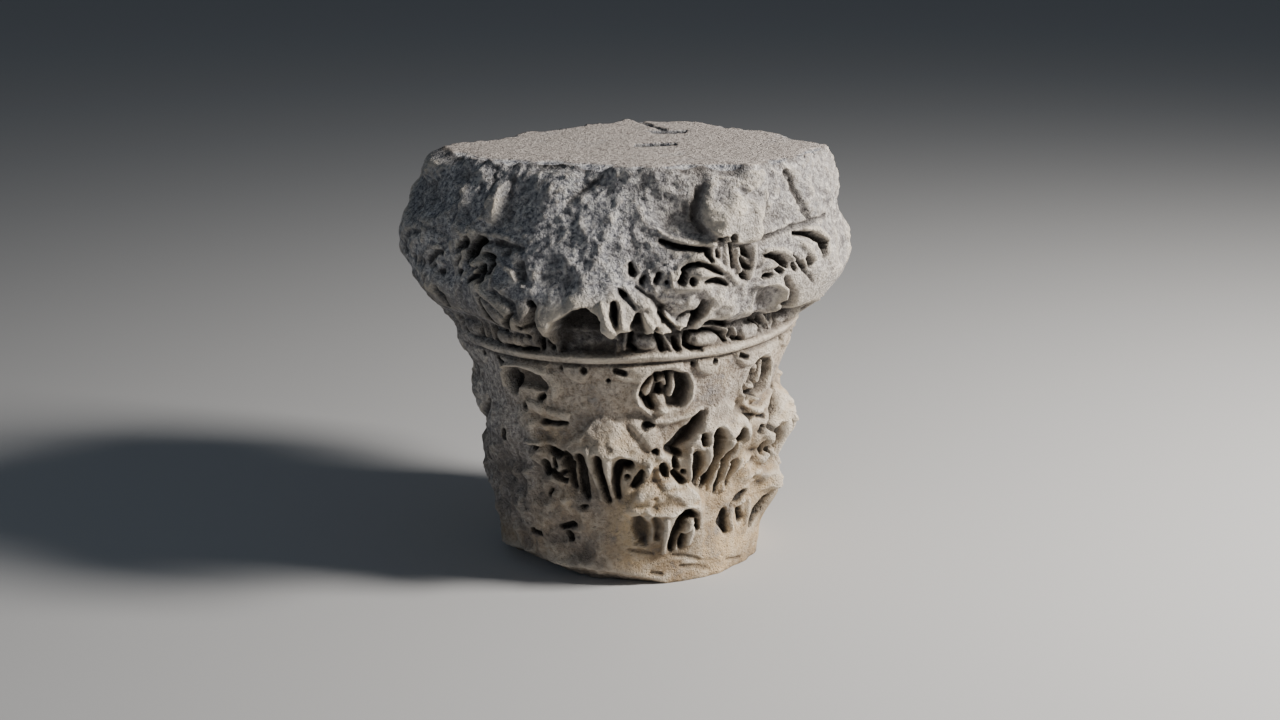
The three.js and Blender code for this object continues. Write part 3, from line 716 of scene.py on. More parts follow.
# Eggs: bearing, height, half width in degrees, half height in mm
EGGS = [(-27.3, 364, 2.7, 11), (-7, 360, 6, 10), (11, 359, 5, 11), (-69, 365, 5.4, 9)]
EGG_GAPS = [
    [(-32.3, 377, 3), (-33, 360, 4), (-31, 353, 2.5)],
    [(-24, 372, 4), (-22.6, 360, 4.5), (-22.4, 352, 3)], [(-18.2, 366, 3), (-17, 351, 4.5)],
    [(-13.7, 371, 3.4), (-14.6, 357, 3), (-12.5, 350, 2.5), (-9, 347, 2)],
    [(-12, 374, 2), (-7, 372, 2.6), (-3, 367, 3), (0.2, 360, 3), (1.2, 351, 2.4)],
    [(-9, 388, 3.4), (-5, 383, 4), (-1.5, 379, 5), (1, 375, 3.5)], [(2.6, 364, 2.4), (2.4, 357, 2)],
    [(5, 352, 3.6)], [(12, 374, 1.5), (15, 368, 3), (17.8, 355, 3)], [(17, 372, 3.4), (19, 362, 2)],
    [(7, 351, 2.4)], [(-75, 376, 4)], [(-82, 368, 3.4), (-83, 353, 2.4)], [(-62.4, 391, 4)],
    [(-59.5, 398, 5)], [(-64.5, 374, 4)], [(-62, 366, 4), (-61.9, 353, 3)],
    [(-58.9, 364, 4.5), (-58.1, 356, 3)], [(-61, 425, 3), (-59.2, 420, 3)],
    [(-77, 351, 2), (-70, 349, 2), (-63.8, 352, 2)],
]
EGG_SHELLS = [
    [(-24, 384, 2), (-21.5, 370, 2.4), (-19.3, 352, 2.4)], [(-34, 378, 3), (-34.6, 356, 3)],
    [(-15.5, 378, 2), (-9, 381, 2.6), (-3, 377, 2.6), (1.4, 368, 2.2), (2, 354, 2)],
    [(4.2, 368, 2), (6, 352, 2.2)], [(16.5, 382, 2), (20, 366, 2.4), (23, 352, 2.4)],
    [(-16.4, 372, 2), (-15.8, 352, 2)],
]
# The foliage of the worn front left corner
LEFT_CUTS = [
    [(-84.6, 495, 5), (-85.2, 484, 8), (-85.5, 470, 5)], [(-80.2, 462, 4), (-78.8, 448, 4.5)],
    [(-88.5, 496, 3), (-88.9, 485, 3)], [(-101, 417, 5), (-99, 408, 7), (-99, 397, 4)],
    [(-81.8, 477, 2.4), (-77.6, 471, 2.6), (-77, 458, 3)],
]
LEFT_SOFT_CUTS = [
    [(-72.8, 482, 5)], [(-66.4, 469, 6), (-64.5, 454, 7)],
    [(-84, 492, 3), (-76.5, 492, 4), (-67, 490, 2.4)], [(-97.5, 481, 7)], [(-105, 476, 5)],
    [(-108.8, 507, 4)], [(-85.5, 459, 6), (-82.9, 455, 5)],
    [(-79.5, 428, 2), (-74.2, 419, 3), (-69, 405, 2)], [(-89.6, 434, 2), (-92, 395, 3)],
    [(-73.1, 436, 2), (-66, 420, 3), (-62.2, 397, 2)],
]
LEFT_RIDGES = [
    [(-76.5, 472, 3), (-68.2, 461, 4), (-63.8, 446, 3)],
    [(-87.4, 503, 2), (-86.4, 484, 2.4), (-86.6, 468, 2)],
    [(-82.1, 468, 2.4), (-81, 457, 2.4), (-79, 442, 2.4)], [(-76, 462, 2.4), (-74.2, 443, 2.4)],
    [(-91.9, 478, 2.4), (-93, 457, 2.4)], [(-89.8, 476, 2), (-90, 455, 2)],
    [(-84, 502, 2), (-80.6, 503, 4), (-73.5, 501, 3.4)],
]


def front_foliage(stone):
    """The drilled foliage of the front side, under the abacus: ridges first, then the grooves."""
    stone.swell(FOLIAGE_RIDGES, 6)
    stone.cut(FOLIAGE_LINES, 6, soil_and_shade=0.5)
    stone.cut(FOLIAGE_GROOVES, 15)
    stone.scoop(-80, 472, 56, 34, 7, lean=-12)
    stone.cut(LEFT_SOFT_CUTS, 7, wall=6, soil_and_shade=0.4)
    stone.swell(LEFT_RIDGES, 5, power=0.8)
    stone.cut(LEFT_CUTS, 24)


# Outlines of the deep hollow under the broken front left corner, of the small one beside it and
# of the recess behind the eggs
CORNER_HOLLOW = [
    (-56.2, 350), (-55.6, 380), (-53.6, 403), (-48, 420), (-44.2, 425), (-41.6, 413), (-40.4, 392),
    (-38, 378), (-36.4, 366), (-38, 350),
]
SMALL_HOLLOW = [(-63.5, 350), (-62.5, 398), (-60, 422), (-57.6, 400), (-56.4, 350)]
EGG_RECESS = [
    (-37, 349), (-36.6, 386), (-33, 390), (-30, 381), (-26, 386), (-21, 378), (-17, 387), (-12, 379),
    (-8, 388), (-3, 382), (3, 377), (9, 386), (14, 383), (20, 387), (26, 382), (33, 384), (34, 349),
]

# The broken ends over the egg band: flat breaks with the radius in their middle and its slopes
# sideways and upwards, the rough part, soft lumps on it and cracks
HANGING_BREAKS = [
    ([(-27, 440), (-12, 441), (-10.5, 415), (-15, 392), (-20, 398), (-25, 412)], (270, 0.05, 0.32)),
    ([(-11, 440), (5, 440), (5, 400), (0, 383), (-10, 384)], (273, -0.12, 0.3)),
]
HANGING_ENDS = [(-30, 446), (8, 446), (6, 395), (0, 380), (-34, 385)]
HANGING_LUMPS = [[(-24, 430, 14), (-15, 420, 18)], [(-6, 425, 20), (-2, 400, 18)]]
HANGING_CRACKS = [
    [(-35.6, 446, 2), (-33.8, 435, 4), (-31.5, 423, 2)],
    [(-30.8, 446, 1.5), (-26.6, 432, 3), (-24, 419, 5), (-24, 400, 3)],
    [(-19.5, 396, 2), (-16.1, 408, 3), (-11.6, 405, 1.5)],
    [(-12, 400, 2.5), (-10.9, 410, 3), (-10.1, 422, 1.5)],
]


def hanging_foliage(stone):
    """The broken ends that hang over the egg band: flat breaks, a dark scoop and deep gaps, and
    the hollow under the broken front left corner."""
    # the hollows are darkened with dirt and painted shade
    stone.hollow(CORNER_HOLLOW, 388, 238, 14, soil_and_shade=0.95)
    stone.hollow(SMALL_HOLLOW, 380, 250, 20, soil_and_shade=0.35)
    stone.hollow(EGG_RECESS, 372, 243, 8, soil_and_shade=0.6)
    for outline, reach in HANGING_BREAKS:
        stone.plane(outline, reach)
    at, inside, _, _ = stone.outline(HANGING_ENDS)
    stone.tear(at, inside)
    stone.swell(HANGING_LUMPS, 5, power=0.9)
    stone.cut(HANGING_CRACKS, 9, wall=4, soil_and_shade=0.4)
    stone.scoop(10.5, 406, 22, 30, 15, lean=12, slope=-0.3)
    stone.swell(LOWER_RIDGES, 8)
    stone.cut(LOWER_GAPS, 20, wall=5)


# The eggs of the other sides: how many, the first one's bearing and the step to the next, and
# the shells and gaps round each, from its middle
BACK_EGGS = 14
FIRST_BACK_EGG = 31
EGG_PITCH = 19.4
BACK_SHELLS = [[(-7, 380, 2.5), (-7.6, 354, 2.5)], [(7, 380, 2.5), (7.6, 354, 2.5)]]
BACK_GAPS = [
    [(-5.6, 372, 3.4), (-5, 354, 3)], [(5.6, 372, 3.4), (5, 354, 3)], [(9.7, 372, 3), (9.7, 356, 2.4)],
]
EGG_RADIUS = 250                 # mm from the axis


def egg_band(stone):
    """The eggs in their shells under the hanging foliage, measured in front, regular behind.

    An egg stands out by 4 mm and 0.3 of its half width."""
    band = soft((stone.z - 348) / 6) * soft((384 - stone.z) / 8)
    stone.radius -= 8 * band * stone.crisp
    # dirt and painted shade in the sunk band
    stone.add_dirt_and_shade(0.35 * band * stone.crisp)
    eggs = list(EGGS)
    shells = list(EGG_SHELLS)
    gaps = list(EGG_GAPS)
    for step in range(BACK_EGGS):
        centre = FIRST_BACK_EGG + EGG_PITCH * step
        eggs.append((centre, 361, 4.6, 11))
        shells += moved(BACK_SHELLS, centre)
        gaps += moved(BACK_GAPS, centre)
    stone.cut(gaps, 14)
    stone.swell(shells, 7)
    for bearing, height, half, tall in eggs:
        line = [(bearing - half * 0.4, height, tall), (bearing + half * 0.4, height, tall)]
        stone.swell([line], 4 + half * RAD * EGG_RADIUS * 0.3)


# The broken flower in the middle of the front, and how far it stands out: by height, by bearing
BOSS_OUTLINE = [
    (-6.5, 590), (-8.5, 570), (-10.8, 548), (-11.2, 530), (-10.2, 516), (-7, 506), (-3.8, 497), (0, 492),
    (4, 496), (5.4, 508), (5.6, 524), (7, 544), (9.4, 562), (9, 590),
]
BOSS_REACH = 27
BOSS_LEFT_CUT = [[(-10.4, 566, 2), (-12, 545, 3), (-12.4, 528, 3), (-11.4, 514, 2)]]
BOSS_UPRIGHT = [
    (494, 0.4), (500, 0.72), (510, 0.9), (528, 1), (545, 0.86), (560, 0.6), (575, 0.42), (592, 0.3),
]
BOSS_ACROSS = [(-11.2, 0.4), (-8.5, 0.7), (-5, 0.88), (-1, 1), (3, 0.95), (5.6, 0.7), (9, 0.35)]


def front_boss(stone):
    """The boss: reach * share by height * share by bearing, with scallops on it, a shallow
    scoop on either side and a narrow cut on its left."""
    stone.scoop(-15, 528, 28, 24, 5)
    stone.scoop(12.5, 526, 15, 24, 4.5)
    stone.cut(BOSS_LEFT_CUT, 5, wall=5, soil_and_shade=0.4)
    at, inside, a, z = stone.outline(BOSS_OUTLINE)
    upright = np.interp(z, *zip(*BOSS_UPRIGHT))
    across = np.interp(a, *zip(*BOSS_ACROSS))
    broken = scallops(stone.place[:, at[0], at[1]], 30, 301) - SCALLOP_MEAN
    stone.radius[at] += (BOSS_REACH * upright * across + 9 * broken) * soft(inside / 2.5 + 0.5)
    stone.tear(at, inside)


def back_side(stone, side):
    """The foliage and the boss of a side away from the camera: the front's grooves, mirrored on
    every second side, only where the block isn't broken away."""
    flip = -1 if side % 180 else 1
    near = [s for s in FOLIAGE_GROOVES + LOWER_GAPS if -30 < s[0][0] < 28]
    stone.swell(moved(FOLIAGE_RIDGES, side, 0, flip), 5, hold=stone.kept)
    stone.cut(moved(near, side, 0, flip), 12, hold=stone.kept)
    stone.cut(moved(FOLIAGE_LINES[:1], side, 0, flip), 5, soil_and_shade=0.5, hold=stone.kept)
    at, inside, a, z = stone.outline([(side + flip * p[0], p[1]) for p in BOSS_OUTLINE])
    rise = np.clip((z - 494) / 60, 0, 1) ** 0.6 * np.clip((HEIGHT - z) / 50, 0, 1)
    stone.radius[at] += 20 * rise * soft(inside / 12 + 0.3) * stone.crisp[at]


# The outline of the whole stone as seen from the front left corner: (height, radius) on the
# right, just past the corner at 45, and on the left
RIGHT_BEARING = 49
RIGHT_OUTLINE = [
    (0, 178), (3, 180), (22, 185), (42, 193), (61, 205), (80, 214), (99, 212), (118, 203), (137, 203),
    (156, 214), (175, 224), (193, 230), (212, 240), (230, 234), (248, 217), (267, 220), (285, 228),
    (303, 237), (321, 240), (341, 248), (358, 255), (376, 279), (394, 298), (412, 314), (430, 322),
    (465, 321), (499, 312), (517, 311), (530, 314), (551, 310), (568, 303), (585, 294), (598, 286),
]
LEFT_BEARING = -121
LEFT_OUTLINE = [
    (0, 196), (17, 200), (36, 197), (55, 202), (74, 199), (93, 203), (113, 213), (132, 218), (151, 221),
    (169, 222), (188, 209), (206, 211), (226, 226), (245, 229), (263, 229), (281, 226), (300, 230),
    (319, 246), (355, 251), (375, 266), (394, 285), (413, 306), (430, 306), (449, 318), (484, 321),
    (508, 312), (518, 302), (535, 289), (551, 277), (568, 279), (585, 274), (598, 248),
]
# Long facets of the broken front left corner: (bearing, mm in or out)
CORNER_FOLDS = [
    (-122, 0), (-104, -10), (-96, -13), (-90, -12), (-84, -7), (-78, 0), (-70, 5), (-63, 9), (-57, 6),
    (-52, 4), (-46, 0), (-40, -5), (-34, -9), (-26, -6), (-12, 2), (-2, 0),
]

# Broken places under the carving and over it: bearing, height, half width, half height, depth,
# lean
OLD_BREAKS = [
    (-124, 405, 110, 44, 16, 0), (-94, 300, 60, 60, 6, 0), (-62, 62, 42, 34, 8, 0),
    (150, 430, 60, 40, 14, 0),
]
LATE_BREAKS = [
    (-54, 46, 17, 17, 8, 0), (-33, 92, 22, 26, 6, 0), (-49, 566, 30, 12, 3, 38),
    (-54, 455, 34, 30, 4, 10), (-27, 565, 46, 34, 4, 15), (-30, 470, 30, 40, 4, 0),
    (-20, 540, 30, 26, 4, 0), (32, 560, 34, 30, 8, 20), (44, 470, 30, 50, 6, 0),
    (110, 560, 70, 40, 12, 0), (75, 520, 60, 50, 10, 20), (172, 540, 80, 60, 10, 0),
    (-150, 470, 70, 60, 12, -15), (-20, 24, 34, 12, 4, 10), (-2, 20, 24, 9, 4, -12),
    (70, 40, 40, 30, 7, 0), (140, 60, 50, 36, 6, 0), (-175, 70, 46, 40, 6, 0),
]
# Cracks and small pits, a few mm deep
CRACKS = [
    [(-90, 592, 2), (-87.5, 565, 2.4), (-86, 550, 2), (-84, 526, 1.4)],
    [(-54, 549, 2), (-48.4, 565, 3), (-41.6, 590, 2)], [(-35.6, 57, 2), (-30, 54, 3), (-26.2, 50, 1)],
    [(-18, 44, 1.5), (-13, 39, 4), (-5.6, 29, 2)], [(-14.6, 24, 2), (-8.2, 20, 3), (-0.8, 10, 2)],
    [(8, 17, 1.6), (17.2, 10, 2)], [(-26.6, 18, 2), (-22.5, 15, 3)], [(-32.6, 67, 2), (-28, 75, 2)],
    [(-26, 121, 4)], [(-25.5, 137, 2)], [(-52.5, 117, 2.5)], [(-40.5, 215, 3)], [(-33.4, 208, 2.5)],
    [(-81, 190, 2), (-80.4, 140, 2.4), (-80, 102, 1.6)], [(104, 590, 2), (110, 540, 2.4), (108, 500, 1)],
]
# The nose of the lower right leaf, soft shoulders beside the leaves, and shallow streaks that
# sweep from the front upper leaf down to the nose
LEAF_NOSE = [[(22, 138, 7), (28, 127, 14), (34, 115, 16)]]
LEAF_SHOULDERS = [
    [(12, 160, 22), (22, 142, 30), (31, 122, 24)], [(-30, 141, 14), (-20, 146, 20), (-11, 137, 16)],
]
STREAKS = [
    [(10.5, 164, 2), (12.8, 173, 4), (17.2, 177, 2)], [(9.4, 143, 2), (13.9, 156, 4), (20.6, 160, 2)],
    [(16, 125, 2), (22.5, 137, 4), (29, 137, 2)], [(12, 186, 2), (16, 176, 4), (24, 166, 2)],
    [(-34, 238, 3), (-30, 220, 5), (-27, 196, 4)],
]
# Stray drill holes and lumps on the bell
SIDE_HOLES = [
    [(-86, 216, 4), (-86.2, 206, 3)], [(-79, 67, 4), (-74, 67, 3)], [(-64, 82, 3), (-58.6, 89, 4)],
    [(-61.4, 72, 5), (-60.8, 64, 3)], [(-66.5, 243, 2), (-63, 241, 3.4), (-57, 244, 1.6)],
    [(-67.5, 274, 3), (-65, 282, 2.4)], [(-73.8, 263, 4)], [(17, 229, 2), (22.5, 223, 2.4)],
    [(19.6, 212, 2), (22.5, 208, 2)], [(30, 160, 3)], [(-67, 137, 2), (-68, 130, 1.5)],
    [(-40.5, 310, 1.6)], [(-53, 120, 1.6), (-51.5, 121, 1)], [(17.5, 262, 3), (21.5, 254, 3)],
]
LEFT_LUMPS = [
    [(-72, 266, 7), (-67, 260, 10)], [(-63, 259, 6), (-57, 255, 8)], [(-70, 240, 6), (-66, 236, 8)],
    [(-75, 208, 4), (-62, 213, 5)], [(-27.6, 178, 7)],
]


def bead_ring(stone):
    """The bead: reach * sqrt(1 - (d / half)^2), with a narrow groove over and under it."""
    height = RING_HEIGHT + 1.2 * hills(stone.place, 60, 90)
    away = np.abs(stone.z - height) / RING_HALF
    left = soft(2 * stone.crisp - 0.6) * (0.85 + 0.15 * hills(stone.place, 30, 91))
    bead = RING_REACH * np.sqrt(np.clip(1 - away ** 2, 0, 1))
    groove = np.exp(-((away - 1.35) / 0.42) ** 2)
    stone.radius += (bead - 3.5 * groove) * left
    # dirt and painted shade in the grooves beside the bead
    stone.add_dirt_and_shade(0.45 * groove * left)


def weather(stone):
    """Scallops on the broken faces, soft hills everywhere, pits and a rough crust where worn.

    broken is 1 where the stone broke: above the foliage, on the right corner, where it is worn,
    and at three quarters low on the left."""
    broken = np.clip(1 - stone.kept + soft((stone.z - 505) / 20), 0, 1) * soft((stone.z - 400) / 60)
    broken = np.maximum(broken, 0.9 * (1 - stone.crisp))
    broken = np.maximum(broken, stone.around(44, 24, 12) * soft((stone.z - 400) / 50))
    low_left = stone.around(-80, 44, 24) * soft((230 - stone.z) / 70)
    broken = np.maximum(broken, 0.75 * low_left)
    big = scallops(stone.place, 78, 11) - SCALLOP_MEAN
    small = scallops(stone.place, 27, 23) - SCALLOP_MEAN
    tiny = scallops(stone.place, 12, 33) - SCALLOP_MEAN
    stone.radius += broken * (11 * big + 5 * small)
    stone.radius += (stone.torn + broken) * (3.4 * tiny + 1.4 * fractal(stone.place, 9, 36, 3))
    stone.radius += 9 * stone.torn * (1 - broken) * small
    stone.radius += low_left * (8 * small + 3 * tiny)
    stone.radius += (1.0 + 1.1 * broken) * fractal(stone.place, 34, 31, 4)
    grain = hills(stone.place, 5, 41)
    stone.radius -= (0.5 + 0.6 * broken) * np.clip(grain - 0.25, 0, 1) * 2
    drawn_out = stone.place * np.array([1, 1, 0.35])[:, None, None]
    stone.radius += 0.5 * (1 - stone.crisp) * fractal(drawn_out, 20, 51, 3) * 9
    foot = soft((26 - stone.z) / 26)
    stone.radius -= foot * (2 + 3 * hills(stone.place, 40, 61) + 2 * hills(stone.place, 15, 62))
    rim = soft((stone.z - HEIGHT + 14 + 6 * hills(stone.place, 30, 73)) / 14)
    chips = 4 + 7 * hills(stone.place, 45, 71) + 5 * hills(stone.place, 17, 72)
    stone.radius -= rim * np.clip(chips, 0, 16)


def carve():
    """The whole side of the stone, in the order in which the forms lie on each other. What is
    beside the leaf in front is the crispest, and the last slanting hollow is worn away."""
    stone = Stone()
    stone.radius += WORN_CRUST * (1 - stone.crisp) * soft((stone.z - 128) / 128)
    for row in LOWER_LEAVES:
        leaf(stone, *row)
    for step in range(LEAVES_PER_ROW):
        share = 1.0 if step in (0, LEAVES_PER_ROW - 1) else 0.8
        stalk_and_lobes(stone, FIRST_GAP + LEAF_SPACING * step, share)
        lappets(stone, FIRST_LEAF + LEAF_SPACING * step, share)
    for row in UPPER_LEAVES:
        leaf(stone, *row)
    for step in range(LEAVES_PER_ROW - 1):
        hollow = moved(SLANTING_HOLLOW, FIRST_GAP + LEAF_SPACING * step)
        stone.sink(hollow, HOLLOW_DEPTH * (0.7 if step else 1.0), wall=5)
    for row in SCROLLS:
        scroll(stone, *row)
    bare_scroll(stone)
    for row in OLD_BREAKS:
        stone.scoop(*row)
    stone.cut(STREAKS, 3.5, wall=6, soil_and_shade=0.1)
    stone.swell(LEAF_SHOULDERS, 7, power=1.1)
    stone.swell(LEAF_NOSE, 6, power=0.8)
    stone.swell(LEFT_LUMPS, 7)
    stone.cut(SIDE_HOLES, 10)
    for side in (90, 180, 270):
        back_side(stone, side)
    front_foliage(stone)
    hanging_foliage(stone)
    egg_band(stone)
    bead_ring(stone)
    front_boss(stone)
    for row in LATE_BREAKS:
        stone.scoop(*row)
    stone.fold(CORNER_FOLDS, 425, 596, lean=0.02)
    stone.fit_profile(RIGHT_BEARING, RIGHT_OUTLINE, 11)
    stone.fit_profile(LEFT_BEARING, LEFT_OUTLINE, 16)
    weather(stone)
    stone.cut(CRACKS, 3.6, wall=3, soil_and_shade=0.35)
    stone.radius = 0.7 * stone.radius + 0.3 * blur(stone.radius, 1)
    stone.keep_inside(cad_box)
    return stone


# The top bed and the underside

DOWEL = (38, -32, 26, 17, 30, -34)        # x, y, half length, half width, depth, turn
CLAMP = (130, 66, 22, 15, 24, -34)
SLOT_WALL = 11
POUR = (142, 5, 3)                        # bearing, half width, depth
POUR_END = 280                            # mm from the axis


def slot_depth(x, y, slot):
    """A cutting with upright walls: depth * soft of the distance inside its turned rectangle."""
    middle_x, middle_y, half_length, half_width, depth, turn = slot
    sine = math.sin(turn * RAD)
    cosine = math.cos(turn * RAD)
    lengthways = (x - middle_x) * cosine + (y - middle_y) * sine
    sideways = (y - middle_y) * cosine - (x - middle_x) * sine
    inside = np.minimum(half_length - np.abs(lengthways), half_width - np.abs(sideways))
    return depth * soft(inside / SLOT_WALL + 0.5)


def bed_relief(x, y, inward):
    """How far the top bed lies below its highest plane, and the dirt and painted shade in its
    cuttings: soft hills, shallow pecks, chips along the rim that fade out over 24 mm inward, the two
    cuttings, and the pour channel that runs from the clamp to the rim."""
    p = np.stack([x, y, np.zeros_like(x)])
    rough = 1.6 + 1.0 * fractal(p, 60, 101, 4) + 1.4 * (0.5 - scallops(p, 16, 115))
    chipped = np.clip(2 + 7 * hills(p, 34, 117) + 4 * hills(p, 13, 118), 0, 9)
    rough = rough + chipped * soft(1 - inward / 24)
    x = x + 3 * hills(p, 20, 121)
    y = y + 3 * hills(p, 20, 122)
    cutting = np.maximum(slot_depth(x, y, DOWEL), slot_depth(x, y, CLAMP))
    bearing, half_width, depth = POUR
    end = (POUR_END * math.sin(bearing * RAD), -POUR_END * math.cos(bearing * RAD))
    away, *_ = from_line(x, y, 1, CLAMP, end)
    cutting = np.maximum(cutting, depth * soft((half_width - away) / 4 + 0.5))
    # dirt and painted shade in the cuttings, so that their walls stay dark
    return np.clip(rough, 0.05, 12) + cutting, soft(cutting / 4) * 0.8


def weathering_and_shade(stone):
    """Dirt with painted shade, painted shade in hollows, worn edges with painted highlights, and
    zone of the side, each 0 or more.

    Hollows lie below the running means of the radius and are painted in shade, and edges above
    them. Old dirt together with painted shade counts as a hollow low on the left, and painted shade
    counts as one under the left overhang. The zone is 1 where the stone is cool and grey: above the
    ring, and by halves on the left."""
    drift = 16 * hills(stone.place, 50, 131)
    mean = blur(stone.radius, MEAN_REACH)
    fine = blur(stone.radius, FINE_REACH)
    wide = blur(stone.radius, WIDE_REACH)
    # painted shade in hollows, the deeper below the running means the darker
    hollow = np.clip((mean - stone.radius) / 7 + np.clip((wide - stone.radius) / 26, 0, 0.5), 0, 1)
    # old dirt and painted shade low on the left, which lies in shade
    grime_and_shade = soft((-30 - stone.a + 1.3 * drift) / 30) * soft((stone.a + 150) / 30)
    grime_and_shade = grime_and_shade * soft((250 - stone.z + drift) / 60)
    patches = 0.62 + 0.5 * fractal(stone.place, 42, 151, 3)
    hollow = np.maximum(hollow, np.clip(grime_and_shade * patches, 0, 0.95))
    # painted shade under the overhang of the broken left corner
    shade_under_eaves = soft((-48 - stone.a + drift) / 20) * soft((stone.a + 140) / 20)
    shade_under_eaves = shade_under_eaves * soft((stone.z - 345) / 20) * soft((440 - stone.z) / 36)
    hollow = np.maximum(hollow, 0.6 * shade_under_eaves)
    # pale wear on sharp edges and ridges, and a painted highlight on forms that stand far out
    wear_and_highlight = np.clip((stone.radius - fine) / 1.2, 0, 1) * 0.5
    wear_and_highlight = wear_and_highlight + np.clip((stone.radius - mean) / 8, 0, 1) * 0.5
    wear_and_highlight = wear_and_highlight + np.clip((stone.radius - wide - 3) / 16, 0, 0.7)
    cool = 0.8 + 0.2 * soft((np.abs(turn_from(30, stone.a) + 0.4 * drift) - 38) / 34)
    over_ring = soft((stone.z - 338 + 0.5 * drift) / 30)
    zone = np.maximum(over_ring, 0.5 * soft((stone.z - 185 + 2 * drift) / 90)) * cool
    left = soft((34 - np.abs(turn_from(-98, stone.a) + 0.5 * drift)) / 24 + 0.3)
    zone = np.maximum(zone, 0.75 * left * soft((stone.z - 10) / 90))
    zone = np.maximum(zone, 0.5 * grime_and_shade * np.clip(patches, 0, 1))
    return np.clip(1.25 * stone.soil_and_shade, 0, 1), hollow, wear_and_highlight, zone


def stone_arrays(stone):
    """All points of the closed surface in mm, and their marks of wear, dirt and painted shade.

    Rows from the middle of the underside outwards, up the side, and in over the top bed."""
    share = (np.arange(1, FOOT_RINGS) / FOOT_RINGS)[:, None]
    angle = stone.a[0] * RAD
    foot = stone.radius[0] * share
    under = np.stack([foot * np.sin(angle), -foot * np.cos(angle), np.zeros_like(foot)])
    share = 1 - (np.arange(1, BED_RINGS) / BED_RINGS)[:, None]
    rim = stone.radius[-1] * share
    x = rim * np.sin(angle)
    y = -rim * np.cos(angle)
    low, bed_soil_and_shade = bed_relief(x, y, stone.radius[-1] * (1 - share))
    bed = np.stack([x, y, HEIGHT - low])
    side = stone.points(stone.radius)
    edge_low, _ = bed_relief(side[0, -1:], side[1, -1:], np.zeros((1, COLUMNS)))
    side[2] -= edge_low * np.clip((stone.z - HEIGHT + 40) / 40, 0, 1)
    grid = np.concatenate([under, side, bed], axis=1)
    masks = []
    for field, on_bed in zip(weathering_and_shade(stone), (bed_soil_and_shade, 0, 0, 1)):
        masks.append(np.concatenate([np.zeros_like(foot), field, np.zeros_like(x) + on_bed]))
    return grid, np.stack(masks)


def closed_mesh(name, grid, middles, masks, middle_masks):
    """A mesh of quads between neighbouring rows, closed by a fan of triangles at each end."""
    rows, columns = grid.shape[1:]
    points = np.concatenate([grid.reshape(3, -1).T, np.array(middles)])
    row, column = np.meshgrid(np.arange(rows - 1), np.arange(columns), indexing="ij")
    beside = (column + 1) % columns
    here = row * columns
    over = (row + 1) * columns
    corners = [here + column, here + beside, over + beside, over + column]
    quads = np.stack(corners, axis=-1).reshape(-1, 4)
    ring = np.arange(columns)
    after = (ring + 1) % columns
    last = (rows - 1) * columns
    lower = np.stack([np.full(columns, rows * columns), after, ring], axis=-1)
    upper = np.stack([np.full(columns, rows * columns + 1), last + ring, last + after], axis=-1)
    loops = np.concatenate([quads.ravel(), lower.ravel(), upper.ravel()])
    starts = np.concatenate([4 * np.arange(len(quads)), 4 * len(quads) + 3 * np.arange(2 * columns)])
    mesh = bpy.data.meshes.new(name)
    mesh.vertices.add(len(points))
    mesh.vertices.foreach_set("co", (points * MM).astype(np.float32).ravel())
    mesh.loops.add(len(loops))
    mesh.loops.foreach_set("vertex_index", loops.astype(np.int32))
    mesh.polygons.add(len(starts))
    mesh.polygons.foreach_set("loop_start", starts.astype(np.int32))
    mesh.update(calc_edges=True)
    colours = np.concatenate([masks.reshape(4, -1).T, np.array(middle_masks)])
    layer = mesh.color_attributes.new("weathering_and_shade", "FLOAT_COLOR", "POINT")
    layer.data.foreach_set("color", colours.astype(np.float32).ravel())
    return mesh


def placed(name, data):
    """An object with its data, linked to the scene."""
    item = bpy.data.objects.new(name, data)
    bpy.context.collection.objects.link(item)
    return item


def thinned(mesh, name, triangles):
    """The same surface with fewer triangles, kept close where it is carved."""
    dense = placed(name + "_net", mesh)
    count = len(mesh.loops) - 2 * len(mesh.polygons)
    thin = dense.modifiers.new("thin", "DECIMATE")
    thin.ratio = min(1.0, triangles / count)
    view = bpy.context.evaluated_depsgraph_get()
    result = bpy.data.meshes.new_from_object(dense.evaluated_get(view))
    bpy.data.objects.remove(dense)
    bpy.data.meshes.remove(mesh)
    result.name = name
    result.polygons.foreach_set("use_smooth", np.ones(len(result.polygons), bool))
    return placed(name, result)


# Materials

